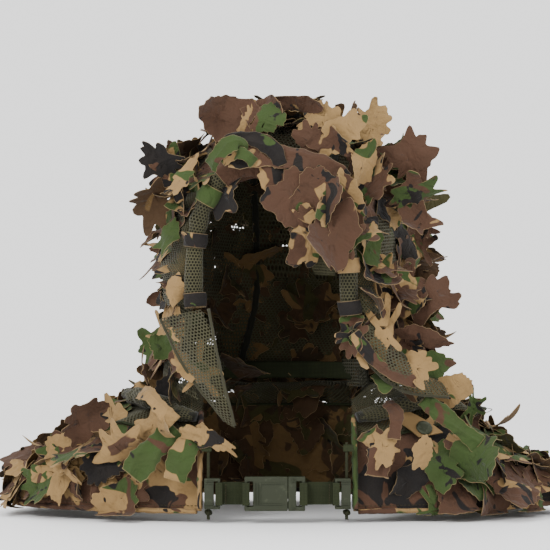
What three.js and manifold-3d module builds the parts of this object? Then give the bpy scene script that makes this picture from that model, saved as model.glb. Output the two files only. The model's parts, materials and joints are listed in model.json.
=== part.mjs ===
// A hooded leaf-camouflage cape: the hood and shoulder cape of a ghillie suit, in its worn shape.
// Millimetres, +Z up, front towards -Y, +X is the wearer's left. The origin is the wearer's neck base.
import * as THREE from "three";
import { mergeVertices } from "three/addons/utils/BufferGeometryUtils.js";
import Module from "manifold-3d";

const wasm = await Module();
wasm.setup();

// ---- Driving dimensions ----
const CLOTH = 3; // thickness that stands for net, fabric and the air held in its folds
const RAD = Math.PI / 180;

const HOOD = {
  halfWidth: 102, // superellipsoid half axes of the hood over the head
  halfDepth: 115,
  domeHeight: 146,
  centreX: 4,
  centreY: 8,
  springZ: 140, // height where the dome starts
  flare: 0.12, // how much wider the walls are at the shoulders
  flareToZ: 40,
  bottomLift: 9, // the lower edge follows the neck of the cape at this height above it
  faceY: -85, // plane of the face opening, before the hood turns
  stripHalf: 52, // half width of the centre panel between the two side seams
  power: 2.4,
  turn: -10 * RAD, // the head looks a little to the wearer's right
  turnFromZ: 20,
  turnToZ: 130,
  lean: 0.1, // the brow sits lower on the wearer's left
};
const CASING = { radius: 6.5, gap: 3, sides: 8 }; // rolled edge of the face opening
const CAPE = {
  centreY: 10,
  neck: { side: 78, front: 60, back: 100 },
  hem: { side: 250, front: 112, back: 130 },
  neckZ: { side: 42, front: 8, back: 40 },
  hemZ: -68,
  rightEdgeX: -74, // the two edges of the open front
  leftEdgeX: 60,
  yokeShare: 0.42, // how far down the slope the net yoke reaches
  backFrom: 128 * RAD, // azimuth of the two side seams, from the front
  shoulderSine: 0.79, // beyond this sine of the azimuth the cape slopes off over the shoulder,
  shoulderDrop: 0.21, // lower halfway down by this share of its height
};
const LEAF = { length: 44, halfWidth: 18, thickness: 1.2, lobes: 4, sinus: 0.55 };
const TAPE = { thickness: 1.4, lift: 4.5 }; // strip that a row of leaves is stitched to
const LOOP = { wall: 1.4, width: 12, clearance: 0.7 };
const SNAP = { capRadius: 7.5, capHeight: 3.4, socketRadius: 6.2, studRadius: 2.5, playRadius: 3.3 };
const STRAP = { z: -50, width: 20, thickness: 1.6, gap: 0.35 };
const BUCKLE = { endX: 2, length: 38, cavity: 26, width: 30, thickness: 10, wall: 2, play: 0.35 };
const TONGUE = { base: 15, reach: 24, barFrom: 9.5, barTo: 12, guide: 8, arm: 5 };
const RAIL = { radius: 1.3, topZ: -5, bottomZ: -73, y: -103, knotRadius: 3 };
const SLIDER = { width: 14, thickness: 8, height: 27, slotFrom: 4.9, slotTo: 8.3, y: -106.5 };

// ---- Materials ----
const material = (color, roughness, metalness = 0) =>
  new THREE.MeshStandardMaterial({ color, roughness, metalness });
const NET = material(0x5f5d45, 0.95);
const CAMO_BROWN = material(0x6b5145, 0.9);
const CAMO_GREEN = material(0x4a5a35, 0.9);
const CAMO_TAN = material(0xa88e66, 0.9);
const CAMO_BLACK = material(0x2b2a2a, 0.9);
const WEBBING = material(0x4b4c38, 0.85);
const PLASTIC = material(0x35372b, 0.45);
const SNAP_METAL = material(0x3c3e34, 0.35, 0.8);

// ---- Small maths ----
const vec = (x, y, z) => new THREE.Vector3(x, y, z);
const mix = (a, b, t) => a + (b - a) * t;
const smooth = (x, from, to) => THREE.MathUtils.smoothstep(x, from, to);
const signedPower = (v, p) => Math.sign(v) * Math.abs(v) ** p;

// The outward normal of surface(u, v), on the side that cross(dv, du) points to.
function normalOf(surface, u, v, step = 1e-3) {
  const du = surface(u + step, v).sub(surface(u - step, v));
  const dv = surface(u, v + step).sub(surface(u, v - step));
  return dv.cross(du).normalize();
}

// A closed shell between surface(u, v) and its offset inwards, u and v from 0 to 1.
function shell(surface, nu, nv, thickness = CLOTH) {
  const points = [];
  for (const depth of [0, thickness])
    for (let j = 0; j <= nv; j++)
      for (let i = 0; i <= nu; i++) {
        const u = i / nu;
        const v = j / nv;
        points.push(surface(u, v).addScaledVector(normalOf(surface, u, v), -depth));
      }
  const layer = (nu + 1) * (nv + 1);
  const at = (i, j, inside) => j * (nu + 1) + i + (inside ? layer : 0);
  const faces = [];
  const quad = (a, b, c, d) => faces.push(a, b, c, a, c, d);
  for (let j = 0; j < nv; j++)
    for (let i = 0; i < nu; i++) {
      quad(at(i, j), at(i, j + 1), at(i + 1, j + 1), at(i + 1, j));
      quad(at(i, j, 1), at(i + 1, j, 1), at(i + 1, j + 1, 1), at(i, j + 1, 1));
    }
  for (let i = 0; i < nu; i++) {
    quad(at(i, 0), at(i + 1, 0), at(i + 1, 0, 1), at(i, 0, 1));
    quad(at(i + 1, nv), at(i, nv), at(i, nv, 1), at(i + 1, nv, 1));
  }
  for (let j = 0; j < nv; j++) {
    quad(at(0, j + 1), at(0, j), at(0, j, 1), at(0, j + 1, 1));
    quad(at(nu, j), at(nu, j + 1), at(nu, j + 1, 1), at(nu, j, 1));
  }
  const geometry = new THREE.BufferGeometry().setFromPoints(points);
  geometry.setIndex(faces);
  return geometry;
}

// A round tube along a smooth curve through the points.
function tube(points, radius, steps, sides = 8) {
  const section = new THREE.Shape();
  for (let i = 0; i < sides; i++) {
    const a = (i / sides) * 2 * Math.PI;
    const method = i ? "lineTo" : "moveTo";
    section[method](radius * Math.cos(a), radius * Math.sin(a));
  }
  return new THREE.ExtrudeGeometry(section, {
    steps,
    bevelEnabled: false,
    extrudePath: new THREE.CatmullRomCurve3(points),
  });
}

// manifold-3d solids, used only to join and cut.
function solid(geometry) {
  const bare = geometry.clone();
  bare.deleteAttribute("normal");
  bare.deleteAttribute("uv");
  const merged = mergeVertices(bare, 1e-3);
  return new wasm.Manifold(
    new wasm.Mesh({
      numProp: 3,
      vertProperties: merged.attributes.position.array,
      triVerts: new Uint32Array(merged.index.array),
    }),
  );
}

function geometryOf(manifold) {
  const mesh = manifold.getMesh();
  const geometry = new THREE.BufferGeometry();
  geometry.setAttribute("position", new THREE.BufferAttribute(mesh.vertProperties, 3));
  geometry.setIndex(new THREE.BufferAttribute(mesh.triVerts, 1));
  return geometry;
}

// Turns and moves a geometry so that its X, Y and Z lie along a right-handed set of axes at a point.
function placed(geometry, x, y, z, point) {
  return geometry.applyMatrix4(new THREE.Matrix4().makeBasis(x, y, z).setPosition(point));
}

const box = (x, y, z, dx = 0, dy = 0, dz = 0) => new THREE.BoxGeometry(x, y, z).translate(dx, dy, dz);

// Height of the cape's neck line by azimuth from the front.
function neckHeight(azimuth) {
  const end = Math.cos(azimuth) > 0 ? "front" : "back";
  return mix(CAPE.neckZ.side, CAPE.neckZ[end], Math.cos(azimuth) ** 2);
}

// ---- Hood surface ----
// The hood turns with the head above the neck, and stays square to the cape at its bottom.
function turned(p) {
  const angle = HOOD.turn * smooth(p.z, HOOD.turnFromZ, HOOD.turnToZ);
  p.z -= HOOD.lean * p.x * smooth(p.z, HOOD.turnFromZ, HOOD.turnToZ + 100);
  return p.applyAxisAngle(vec(0, 0, 1), angle);
}

const domeScale = (z) =>
  z <= HOOD.springZ ? 1 : (1 - ((z - HOOD.springZ) / HOOD.domeHeight) ** HOOD.power) ** (1 / HOOD.power);
const hoodWidth = (z) =>
  HOOD.halfWidth * domeScale(z) * (1 + HOOD.flare * (1 - smooth(z, HOOD.flareToZ, HOOD.springZ)));
const hoodDepth = (z) => HOOD.halfDepth * domeScale(z);

// A point of the hood by azimuth from the front (side is -1 for the wearer's right) and height.
function hoodWall(side, azimuth, z) {
  const p = 2 / HOOD.power;
  return turned(
    vec(
      HOOD.centreX + side * hoodWidth(z) * signedPower(Math.sin(azimuth), p),
      HOOD.centreY - hoodDepth(z) * signedPower(Math.cos(azimuth), p),
      z,
    ),
  );
}

// Azimuths where the wall at height z meets the face opening or front seam, and the back seam.
function wallSpan(z) {
  const half = HOOD.power / 2;
  const seam = Math.asin(Math.min(1, HOOD.stripHalf / hoodWidth(z)) ** half);
  const reach = (HOOD.centreY - HOOD.faceY) / hoodDepth(z);
  const face = Math.acos(Math.min(1, reach) ** half);
  return [Math.max(seam, face), Math.PI - seam];
}

// The centre panel: x is across it, and share runs from the brow over the crown to the nape.
function centreStrip(x, share) {
  const k = (1 - Math.abs(x / HOOD.halfWidth) ** HOOD.power) ** (1 / HOOD.power);
  const depth = HOOD.halfDepth * k;
  const height = HOOD.domeHeight * k;
  const p = 2 / HOOD.power;
  const brow = Math.acos(Math.min(1, (HOOD.centreY - HOOD.faceY) / depth) ** (1 / p));
  const overCrown = 0.68; // share of the panel that lies on the dome
  if (share > overCrown) {
    const down = (share - overCrown) / (1 - overCrown);
    const z = mix(HOOD.springZ, neckHeight(Math.PI) + HOOD.bottomLift, down);
    return turned(vec(HOOD.centreX + x, HOOD.centreY + depth, z));
  }
  const angle = mix(brow, Math.PI, share / overCrown);
  return turned(
    vec(
      HOOD.centreX + x,
      HOOD.centreY - depth * signedPower(Math.cos(angle), p),
      HOOD.springZ + height * Math.abs(Math.sin(angle)) ** p,
    ),
  );
}

const HOOD_TOP_ROW = 0.985; // the side panels stop just short of the point where the seams meet
function sidePanel(side) {
  const seamScale = (1 - (HOOD.stripHalf / HOOD.halfWidth) ** HOOD.power) ** (1 / HOOD.power);
  const topZ = HOOD.springZ + HOOD.domeHeight * seamScale * HOOD_TOP_ROW;
  return (u, v) => {
    const back = side < 0 ? u : 1 - u;
    const lowest = neckHeight(mix(...wallSpan(HOOD.springZ), back)) + HOOD.bottomLift;
    const z = mix(lowest, topZ, signedPower(v, 0.9));
    const [from, to] = wallSpan(z);
    const azimuth = mix(from + 0.045, to - 0.025, back); // clear of the casing and the centre panel
    return hoodWall(side, azimuth, z);
  };
}

function centrePanel(u, v) {
  const half = HOOD.stripHalf - 1.5;
  return centreStrip(mix(half, -half, u), mix(0.985, 0.02, v));
}

// The edge of the face opening, from the wearer's right cheek (0) over the brow to the left cheek (1).
function faceEdge(t) {
  const straight = 0.22; // share of the edge that runs straight down each cheek
  const reach = (HOOD.centreY - HOOD.faceY) / HOOD.halfDepth;
  const scale = (1 - reach ** HOOD.power) ** (1 / HOOD.power);
  const side = t < 0.5 ? -1 : 1;
  const fromCheek = t < 0.5 ? t : 1 - t;
  const p = 2 / HOOD.power;
  const arch = Math.max(0, (fromCheek - straight) / (0.5 - straight)) * (Math.PI / 2);
  const drop = Math.max(0, 1 - fromCheek / straight);
  const x = side * HOOD.halfWidth * scale * signedPower(Math.cos(arch), p);
  const z = HOOD.springZ + HOOD.domeHeight * scale * signedPower(Math.sin(arch), p);
  const y = HOOD.faceY - CASING.radius - CASING.gap;
  return turned(vec(HOOD.centreX + x, y, mix(z, 112, drop)));
}

function casing(from, to, steps) {
  const points = [];
  for (let i = 0; i <= 10; i++) points.push(faceEdge(mix(from, to, i / 10)));
  return tube(points, CASING.radius, steps, CASING.sides);
}

// A foliage loop: a flat ring of camouflage tape round the casing.
function casingLoop(t) {
  const inner = CASING.radius + LOOP.clearance;
  const outer = inner + LOOP.wall;
  const half = LOOP.width / 2;
  const profile = [
    [inner, -half],
    [outer, -half],
    [outer, half],
    [inner, half],
    [inner, -half],
  ].map(([r, z]) => new THREE.Vector2(r, z));
  const along = faceEdge(t + 0.01).sub(faceEdge(t - 0.01)).normalize();
  const x = vec(0, 1, 0).cross(along).normalize();
  const ring = new THREE.LatheGeometry(profile, 10);
  return placed(ring, x, along, x.clone().cross(along), faceEdge(t));
}

// A loose front corner of the hood, between an outer and an inner edge that run downwards.
function lappet(outer, inner) {
  const a = new THREE.CatmullRomCurve3(outer.map((p) => vec(...p)));
  const b = new THREE.CatmullRomCurve3(inner.map((p) => vec(...p)));
  return (u, v) => {
    const t = THREE.MathUtils.clamp(1 - v, 0, 1);
    const bulge = 9 * Math.sin(Math.PI * u) * Math.sin(Math.PI * Math.min(1, t * 1.1));
    return a.getPoint(t).lerp(b.getPoint(t), u).add(vec(0, -bulge, 0));
  };
}

// ---- Cape surface ----
// azimuth from the front towards a side; down is 0 at the neck and 1 at the hem.
function cape(side, azimuth, down, lift = 0) {
  const front = Math.cos(azimuth) > 0;
  const end = front ? "front" : "back";
  const spread = Math.sin((down * Math.PI) / 2);
  const shoulder = smooth(Math.sin(azimuth), CAPE.shoulderSine, 1);
  const slope = CAPE.shoulderDrop * shoulder * Math.sin(Math.PI * down) ** 2;
  const fall = 1 - Math.cos((down * Math.PI) / 2) + slope;
  const across = mix(CAPE.neck.side, CAPE.hem.side, spread) + lift;
  const deep = mix(CAPE.neck[end], CAPE.hem[end], spread) + lift * 0.5;
  return vec(
    side * across * Math.sin(azimuth),
    CAPE.centreY - deep * Math.cos(azimuth),
    mix(neckHeight(azimuth), CAPE.hemZ, fall) + lift * (1 - spread * 0.6),
  );
}

// The azimuth where the cape meets an open front edge that hangs at one distance from the middle.
function frontEdge(side, down) {
  const edgeX = Math.abs(side < 0 ? CAPE.rightEdgeX : CAPE.leftEdgeX);
  const across = mix(CAPE.neck.side, CAPE.hem.side, Math.sin((down * Math.PI) / 2));
  return Math.asin(Math.min(1, edgeX / across));
}

function capeSide(side, top, bottom) {
  return (u, v) => {
    const down = mix(bottom, top, v);
    const from = frontEdge(side, down) + 0.03;
    const to = CAPE.backFrom - 0.006;
    return cape(side, mix(from, to, side < 0 ? u : 1 - u), down);
  };
}

function capeBack(top, bottom) {
  return (u, v) => {
    const azimuth = mix(CAPE.backFrom + 0.006, 2 * Math.PI - CAPE.backFrom - 0.006, 1 - u);
    return cape(1, azimuth, mix(bottom, top, v));
  };
}

// A tube that follows the cape at one share of its depth, open at the front.
function capeBinding(down, radius, steps, lift) {
  const points = [];
  const count = 20;
  const from = frontEdge(-1, down) + 0.02;
  const to = frontEdge(1, down) + 0.02;
  for (let i = 0; i <= count; i++) {
    const a = mix(from, 2 * Math.PI - to, i / count);
    points.push(cape(-1, a, down, lift));
  }
  return tube(points, radius, steps, 6);
}

function frontBinding(side) {
  const points = [];
  for (let i = 0; i <= 6; i++) {
    const down = mix(0.16, 0.965, i / 6);
    const p = cape(side, frontEdge(side, down), down);
    p.x = (side < 0 ? CAPE.rightEdgeX : CAPE.leftEdgeX) + side * 1.5;
    p.y -= 7;
    points.push(p);
  }
  return tube(points, 3, 14, 6);
}

// The band of cloth that joins the back of the hood to the neck of the cape.
function neckBand(u, v) {
  const azimuth = mix(CAPE.backFrom, 2 * Math.PI - CAPE.backFrom, 1 - u);
  const p = cape(1, azimuth, 0.01);
  return vec(p.x, p.y - 1, mix(44, 60, v));
}

// ---- Leaves ----
// One fabric leaf: lobes on both sides of a midrib that runs from the root along +Y.
function leafPlate(scale) {
  const steps = LEAF.lobes * 2;
  const outline = [];
  for (let i = 0; i <= steps; i++) {
    const t = i / steps;
    const lobe = i % 2 ? 1 : LEAF.sinus;
    const width = LEAF.halfWidth * lobe * Math.sin(Math.PI * (0.12 + 0.82 * t)) ** 0.8;
    outline.push([width * scale, t * LEAF.length * scale]);
  }
  const shape = new THREE.Shape();
  shape.moveTo(...outline[0]);
  for (const [x, y] of outline.slice(1)) shape.lineTo(x, y);
  shape.lineTo(0, LEAF.length * 1.08 * scale);
  for (const [x, y] of outline.reverse()) shape.lineTo(-x, y);
  const plate = new THREE.ExtrudeGeometry(shape, { depth: LEAF.thickness, bevelEnabled: false });
  return plate.translate(0, 0, -LEAF.thickness / 2);
}

// A row of leaves on one stitched tape. station(t) gives the tape's point, the outward normal and
// the direction that the leaves point in.
function leafRow(station, count, scale = 1, tilt = 26 * RAD) {
  const tapePoints = [];
  for (let i = 0; i <= count * 2; i++) {
    const { point, normal } = station(i / (count * 2));
    tapePoints.push(point.clone().addScaledVector(normal, TAPE.lift));
  }
  let row = solid(tube(tapePoints, TAPE.thickness, count * 3, 6));
  for (let i = 0; i < count; i++) {
    const { point, normal, down } = station((i + 0.5) / count);
    const lean = tilt + (i % 2 ? 6 : -5) * RAD;
    const yaw = (i % 2 ? -9 : 8) * RAD;
    const across = down.clone().cross(normal).normalize();
    const heading = down.clone().applyAxisAngle(normal, yaw);
    const along = heading
      .multiplyScalar(Math.cos(lean))
      .addScaledVector(normal, Math.sin(lean))
      .normalize();
    const x = across.addScaledVector(along, -across.dot(along)).normalize();
    const root = point.clone().addScaledVector(normal, TAPE.lift);
    const size = scale * (i % 3 === 1 ? 1.1 : 0.95);
    row = row.add(solid(placed(leafPlate(size), x, along, x.clone().cross(along), root)));
  }
  return geometryOf(row);
}

// A station on a surface(u, v): u runs along the row and v across it.
function onSurface(surface, v, from, to, towards) {
  return (t) => {
    const u = mix(from, to, t);
    const normal = normalOf(surface, u, v);
    const down = towards.clone().addScaledVector(normal, -towards.dot(normal)).normalize();
    return { point: surface(u, v), normal, down };
  };
}

const DOWN = vec(0, 0, -1);
const FORWARD = vec(0, -1, 0.1);
const BACKWARD = vec(0, 1, -0.2);

function capeRow(side, down, from, to, count, scale = 1) {
  const outward = (t) => {
    const azimuth = mix(from, to, t) * RAD;
    const point = cape(side, azimuth, down);
    const step = cape(side, azimuth, down + 0.01).sub(cape(side, azimuth, down - 0.01)).normalize();
    const along = cape(side, azimuth + 0.01, down).sub(cape(side, azimuth - 0.01, down));
    const normal = step.clone().cross(along).multiplyScalar(side).normalize();
    return { point, normal, down: step };
  };
  return leafRow(outward, count, scale);
}

// ---- Veil ----
// A net panel hung from the brow over the left half of the face, drawn before the hood turns.
const VEIL = { topZ: 236, tipZ: 138, topLeft: -8, topRight: 62, tipX: 50, tipHalf: 14, y: -106 };
function veilPanel(u, v) {
  const z = mix(VEIL.tipZ, VEIL.topZ, v);
  const left = mix(VEIL.tipX - VEIL.tipHalf, VEIL.topLeft, v);
  const right = mix(VEIL.tipX + VEIL.tipHalf, VEIL.topRight, v);
  return turned(vec(mix(right, left, u), VEIL.y - 7 * Math.sin(Math.PI * v * 0.9), z));
}

// ---- Snap tab ----
// A tab of tape sewn to the cape at its upper end, with a press stud near its lower end.
const CLOTH_TAB = 1.6;
const TAB = { azimuth: 39 * RAD, from: 0.24, to: 0.5, half: 0.07, lift: 8.2, snapShare: 0.8 };
const tabSurface = (side) => (u, v) => {
  const azimuth = TAB.azimuth + mix(-TAB.half, TAB.half, side < 0 ? u : 1 - u);
  return cape(side, azimuth, mix(TAB.to, TAB.from, v), TAB.lift);
};

function snapFrame(side) {
  const surface = tabSurface(side);
  const v = 1 - TAB.snapShare;
  const normal = normalOf(surface, 0.5, v);
  const x = vec(0, 0, 1).cross(normal).normalize();
  return { x, y: normal, z: x.clone().cross(normal), point: surface(0.5, v) };
}

// A solid of revolution about the snap's axis. The profile is [radius, height] above the tab.
function snapPiece(side, profile, steps = 12) {
  const { x, y, z, point } = snapFrame(side);
  const points = profile.map(([r, h]) => new THREE.Vector2(r, h));
  return placed(new THREE.LatheGeometry(points, steps), x, y, z, point);
}

const capProfile = () => {
  const { capRadius: r, capHeight: h } = SNAP;
  return [
    [0, 0.4],
    [r, 0.4],
    [r, h * 0.45],
    [r * 0.8, h * 0.82],
    [r * 0.4, h],
    [0, h],
  ];
};
const socketProfile = () => {
  const bottom = -CLOTH_TAB - 3;
  return [
    [SNAP.playRadius, bottom],
    [SNAP.socketRadius, bottom],
    [SNAP.socketRadius, -CLOTH_TAB - 0.4],
    [SNAP.playRadius, -CLOTH_TAB - 0.4],
    [SNAP.playRadius, bottom],
  ];
};
const studProfile = () => {
  const foot = -CLOTH_TAB - 4.6;
  return [
    [0, foot],
    [SNAP.socketRadius, foot],
    [SNAP.socketRadius, foot + 0.9],
    [SNAP.studRadius, foot + 1.2],
    [SNAP.studRadius, foot + 3.2],
    [0, foot + 3.4],
  ];
};

// ---- Chest strap ----
// It runs between two cords at the edges of the open front. Its parts are drawn about their own
// slider or buckle and then moved to the strap's line.
const railX = (side) => (side < 0 ? CAPE.rightEdgeX + 6 : CAPE.leftEdgeX - 6);

// A vertical cord with a knot that stops the slider.
function rail(side) {
  const x = railX(side);
  const points = [0, 0.33, 0.67, 1].map((t) => vec(x, RAIL.y, mix(RAIL.topZ, RAIL.bottomZ, t)));
  const knotZ = STRAP.z - SLIDER.height / 2 - RAIL.knotRadius - 0.3;
  const knot = new THREE.SphereGeometry(RAIL.knotRadius, 10, 6).translate(x, RAIL.y, knotZ);
  return geometryOf(solid(tube(points, RAIL.radius, 10, 8)).add(solid(knot)));
}

// A flat loop of webbing that ties the top of a rail back to the edge of the cape.
function railAnchor(side) {
  const strip = solid(box(9, 5, 6, side * 1.5, 0, 0));
  const hole = solid(box(3.6, 3.6, 8));
  return geometryOf(strip.subtract(hole)).translate(railX(side), RAIL.y, RAIL.topZ - 5);
}

// A slider that runs on a rail and holds the end of the strap in a slot.
function slider(side) {
  const { width, thickness, height, slotFrom, slotTo, y } = SLIDER;
  const body = solid(box(width, thickness, height, -side * 3.5, y, 0));
  const bore = solid(box(3.6, 3.6, height + 4, 0, RAIL.y, 0));
  const slotX = (-side * (slotFrom + slotTo)) / 2;
  const slot = solid(box(slotTo - slotFrom, thickness + 4, STRAP.width + 1.6, slotX, y, 0));
  return geometryOf(body.subtract(bore).subtract(slot)).translate(railX(side), 0, STRAP.z);
}

// Webbing that is looped round a bar at each end. A bar is [centre x, half width, half thickness].
function webbing(barA, barB) {
  const { gap, thickness, width } = STRAP;
  const loopRound = ([x, halfX, halfY]) => {
    const inner = [2 * (halfX + gap), 2 * (halfY + gap)];
    const outer = inner.map((size) => size + 2 * thickness);
    return solid(box(outer[0], outer[1], width, x)).subtract(solid(box(...inner, width + 2, x)));
  };
  const from = barA[0] + barA[1] + gap + thickness / 2;
  const to = barB[0] - barB[1] - gap - thickness / 2;
  const lowest = Math.min(barA[2], barB[2]) + gap;
  const run = box(to - from, thickness, width, (from + to) / 2, lowest + thickness / 2, 0);
  const strip = loopRound(barA).add(loopRound(barB)).add(solid(run));
  return geometryOf(strip).translate(0, SLIDER.y, STRAP.z);
}

const sliderBar = (side) => {
  const half = (SLIDER.width / 2 + 3.5 - SLIDER.slotTo) / 2;
  return [railX(side) - side * (SLIDER.slotTo + half), half, SLIDER.thickness / 2];
};
const SOCKET_BAR = [BUCKLE.endX - BUCKLE.length + 1.2, 1.2, BUCKLE.thickness / 2 - 0.5];
const TONGUE_BAR = [BUCKLE.endX + (TONGUE.barTo + TONGUE.base) / 2 + 0.35, 1.5, BUCKLE.thickness / 2 - 1];

function buckleSocket() {
  const { endX, length, cavity, width, thickness, wall } = BUCKLE;
  const middle = endX - length / 2;
  const body = solid(box(length, thickness - 1, width, middle));
  const pocket = box(cavity, thickness - 2 * wall, width - 2 * wall, endX - cavity / 2 + 1);
  const windows = box(11, thickness - 2 * wall, width + 4, endX - cavity / 2);
  const slot = box(5, thickness + 2, STRAP.width + 2, endX - length + 4.9);
  const cut = body.subtract(solid(pocket)).subtract(solid(windows)).subtract(solid(slot));
  return geometryOf(cut).translate(0, SLIDER.y, STRAP.z);
}

// The tongue: a base with the webbing's bar, a middle guide and two sprung arms.
function buckleTongue() {
  const { endX, width, thickness, wall, play } = BUCKLE;
  const { base, reach, barFrom, barTo, guide, arm } = TONGUE;
  const inside = thickness - 2 * wall - 2 * play;
  const start = endX + play;
  const middle = start + base / 2;
  let body = solid(box(base, thickness - 2, width, middle));
  body = body.subtract(solid(box(barTo - barFrom + 2.4, thickness, STRAP.width + 2, start + barTo - 2.4)));
  body = body.add(solid(box(reach + 4, inside, guide, start + 4 - (reach + 4) / 2)));
  for (const upper of [1, -1]) {
    const z = upper * (width / 2 - wall - play - arm / 2);
    body = body.add(solid(box(reach + 2, inside, arm, start + 2 - (reach + 2) / 2, 0, z)));
  }
  return geometryOf(body).translate(0, SLIDER.y, STRAP.z);
}

// ---- Assembly ----
const suit = new THREE.Group();
function add(name, geometry, look) {
  const mesh = new THREE.Mesh(geometry, look);
  mesh.name = name;
  suit.add(mesh);
}

const SIDES = [
  ["right", -1],
  ["left", 1],
];

function buildHood() {
  for (const [name, side] of SIDES) add(`hood_${name}_panel`, shell(sidePanel(side), 8, 9), NET);
  add("hood_centre_panel", shell(centrePanel, 6, 14), NET);
  add("face_casing_right", casing(0, 0.395, 16), NET);
  add("brow_casing", casing(0.4, 0.6, 10), CAMO_BROWN);
  add("face_casing_left", casing(0.605, 1, 16), NET);
  const loops = [
    ["right_temple", 0.343, CAMO_GREEN],
    ["right_cheek", 0.26, CAMO_BLACK],
    ["right_jaw", 0.04, CAMO_BLACK],
    ["left_temple", 0.66, CAMO_BROWN],
    ["left_cheek", 0.76, CAMO_TAN],
    ["left_jaw", 0.96, CAMO_BLACK],
  ];
  for (const [name, t, look] of loops) add(`loop_${name}`, casingLoop(t), look);
  const rightCorner = lappet(
    [[-112, -76, 104], [-88, -92, 58], [-52, -106, 12]],
    [[-78, -104, 104], [-66, -112, 62], [-46, -112, 8]],
  );
  const leftCorner = lappet(
    [[84, -100, 98], [106, -92, 70], [132, -78, 52], [156, -62, 42]],
    [[56, -108, 98], [74, -108, 64], [104, -98, 40], [148, -74, 33]],
  );
  add("right_lappet", shell(rightCorner, 4, 7, 2), NET);
  add("left_lappet", shell(leftCorner, 4, 7, 2), NET);
}

function buildHoodLeaves() {
  const crown = (u, v) => centreStrip(mix(-HOOD.stripHalf, HOOD.stripHalf, 1 - u), v);
  const rows = [
    ["crown_front_leaves", onSurface(crown, 0.13, 0.12, 0.88, FORWARD), 3, CAMO_BROWN],
    ["crown_middle_leaves", onSurface(crown, 0.3, 0.1, 0.9, FORWARD), 3, CAMO_GREEN],
    ["crown_back_leaves", onSurface(crown, 0.42, 0.1, 0.9, BACKWARD), 3, CAMO_TAN],
    ["hood_back_leaves", onSurface(crown, 0.62, 0.1, 0.9, DOWN), 3, CAMO_BROWN],
    ["nape_leaves", onSurface(crown, 0.76, 0.1, 0.9, DOWN), 3, CAMO_GREEN],
  ];
  for (const [name, station, count, look] of rows) add(name, leafRow(station, count), look);
  for (const [name, side] of SIDES) {
    const wall = (u, v) => hoodWall(side, mix(40, 140, side < 0 ? u : 1 - u) * RAD, v * 100);
    const range = side < 0 ? [0.2, 0.86] : [0.14, 0.8];
    const heights = side < 0 ? [2.1, 1.5] : [2.2, 1.66, 1.16];
    heights.forEach((height, i) => {
      const station = onSurface(wall, height, ...range, DOWN);
      add(`hood_${name}_leaves_${i + 1}`, leafRow(station, 4), [CAMO_BROWN, CAMO_TAN, CAMO_GREEN][i]);
    });
  }
}

function buildVeil() {
  add("veil_net", shell(veilPanel, 4, 6, 1.5), NET);
  add("veil_leaves", leafRow(onSurface(veilPanel, 0.82, 0.2, 0.8, DOWN), 2, 1.1, 14 * RAD), CAMO_BROWN);
}

function buildCape() {
  const split = CAPE.yokeShare;
  for (const [name, side] of SIDES) {
    add(`${name}_yoke_net`, shell(capeSide(side, 0.05, split - 0.006), 8, 4), NET);
    add(`${name}_shoulder_panel`, shell(capeSide(side, split + 0.006, 0.955), 9, 6), CAMO_BROWN);
    add(`${name}_front_binding`, frontBinding(side), side < 0 ? CAMO_TAN : CAMO_GREEN);
  }
  add("back_yoke_net", shell(capeBack(0.05, split - 0.006), 8, 4), NET);
  add("back_panel", shell(capeBack(split + 0.006, 0.955), 8, 6), CAMO_GREEN);
  add("neck_band", shell(neckBand, 8, 1, 2), WEBBING);
  add("hem_binding", capeBinding(0.985, 3, 44, -1), CAMO_BROWN);
}

function buildCapeLeaves() {
  for (const [name, side] of SIDES) {
    add(`${name}_shoulder_leaves_1`, capeRow(side, 0.36, 68, 112, 3), CAMO_TAN);
    add(`${name}_shoulder_leaves_2`, capeRow(side, 0.62, 30, 112, 5), CAMO_GREEN);
  }
  add("back_leaves_1", capeRow(1, 0.46, 142, 218, 4), CAMO_BROWN);
  add("back_leaves_2", capeRow(1, 0.7, 136, 224, 5), CAMO_TAN);
}

function buildTabs() {
  for (const [name, side] of SIDES) {
    add(`${name}_snap_tab`, shell(tabSurface(side), 3, 5, CLOTH_TAB), CAMO_GREEN);
    add(`${name}_snap_cap`, snapPiece(side, capProfile()), SNAP_METAL);
    add(`${name}_snap_socket`, snapPiece(side, socketProfile()), SNAP_METAL);
    add(`${name}_snap_stud`, snapPiece(side, studProfile()), SNAP_METAL);
  }
}

function buildStrap() {
  for (const [name, side] of SIDES) {
    add(`${name}_rail_cord`, rail(side), WEBBING);
    add(`${name}_rail_loop`, railAnchor(side), WEBBING);
    add(`${name}_slider`, slider(side), PLASTIC);
  }
  add("right_webbing", webbing(sliderBar(-1), SOCKET_BAR), WEBBING);
  add("left_webbing", webbing(TONGUE_BAR, sliderBar(1)), WEBBING);
  add("buckle_socket", buckleSocket(), PLASTIC);
  add("buckle_tongue", buckleTongue(), PLASTIC);
}

buildHood();
buildHoodLeaves();
buildVeil();
buildCape();
buildCapeLeaves();
buildTabs();
buildStrap();

export default suit;
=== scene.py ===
"""Looks of the ghillie hood and cape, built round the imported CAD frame."""

import json
import math

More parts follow.
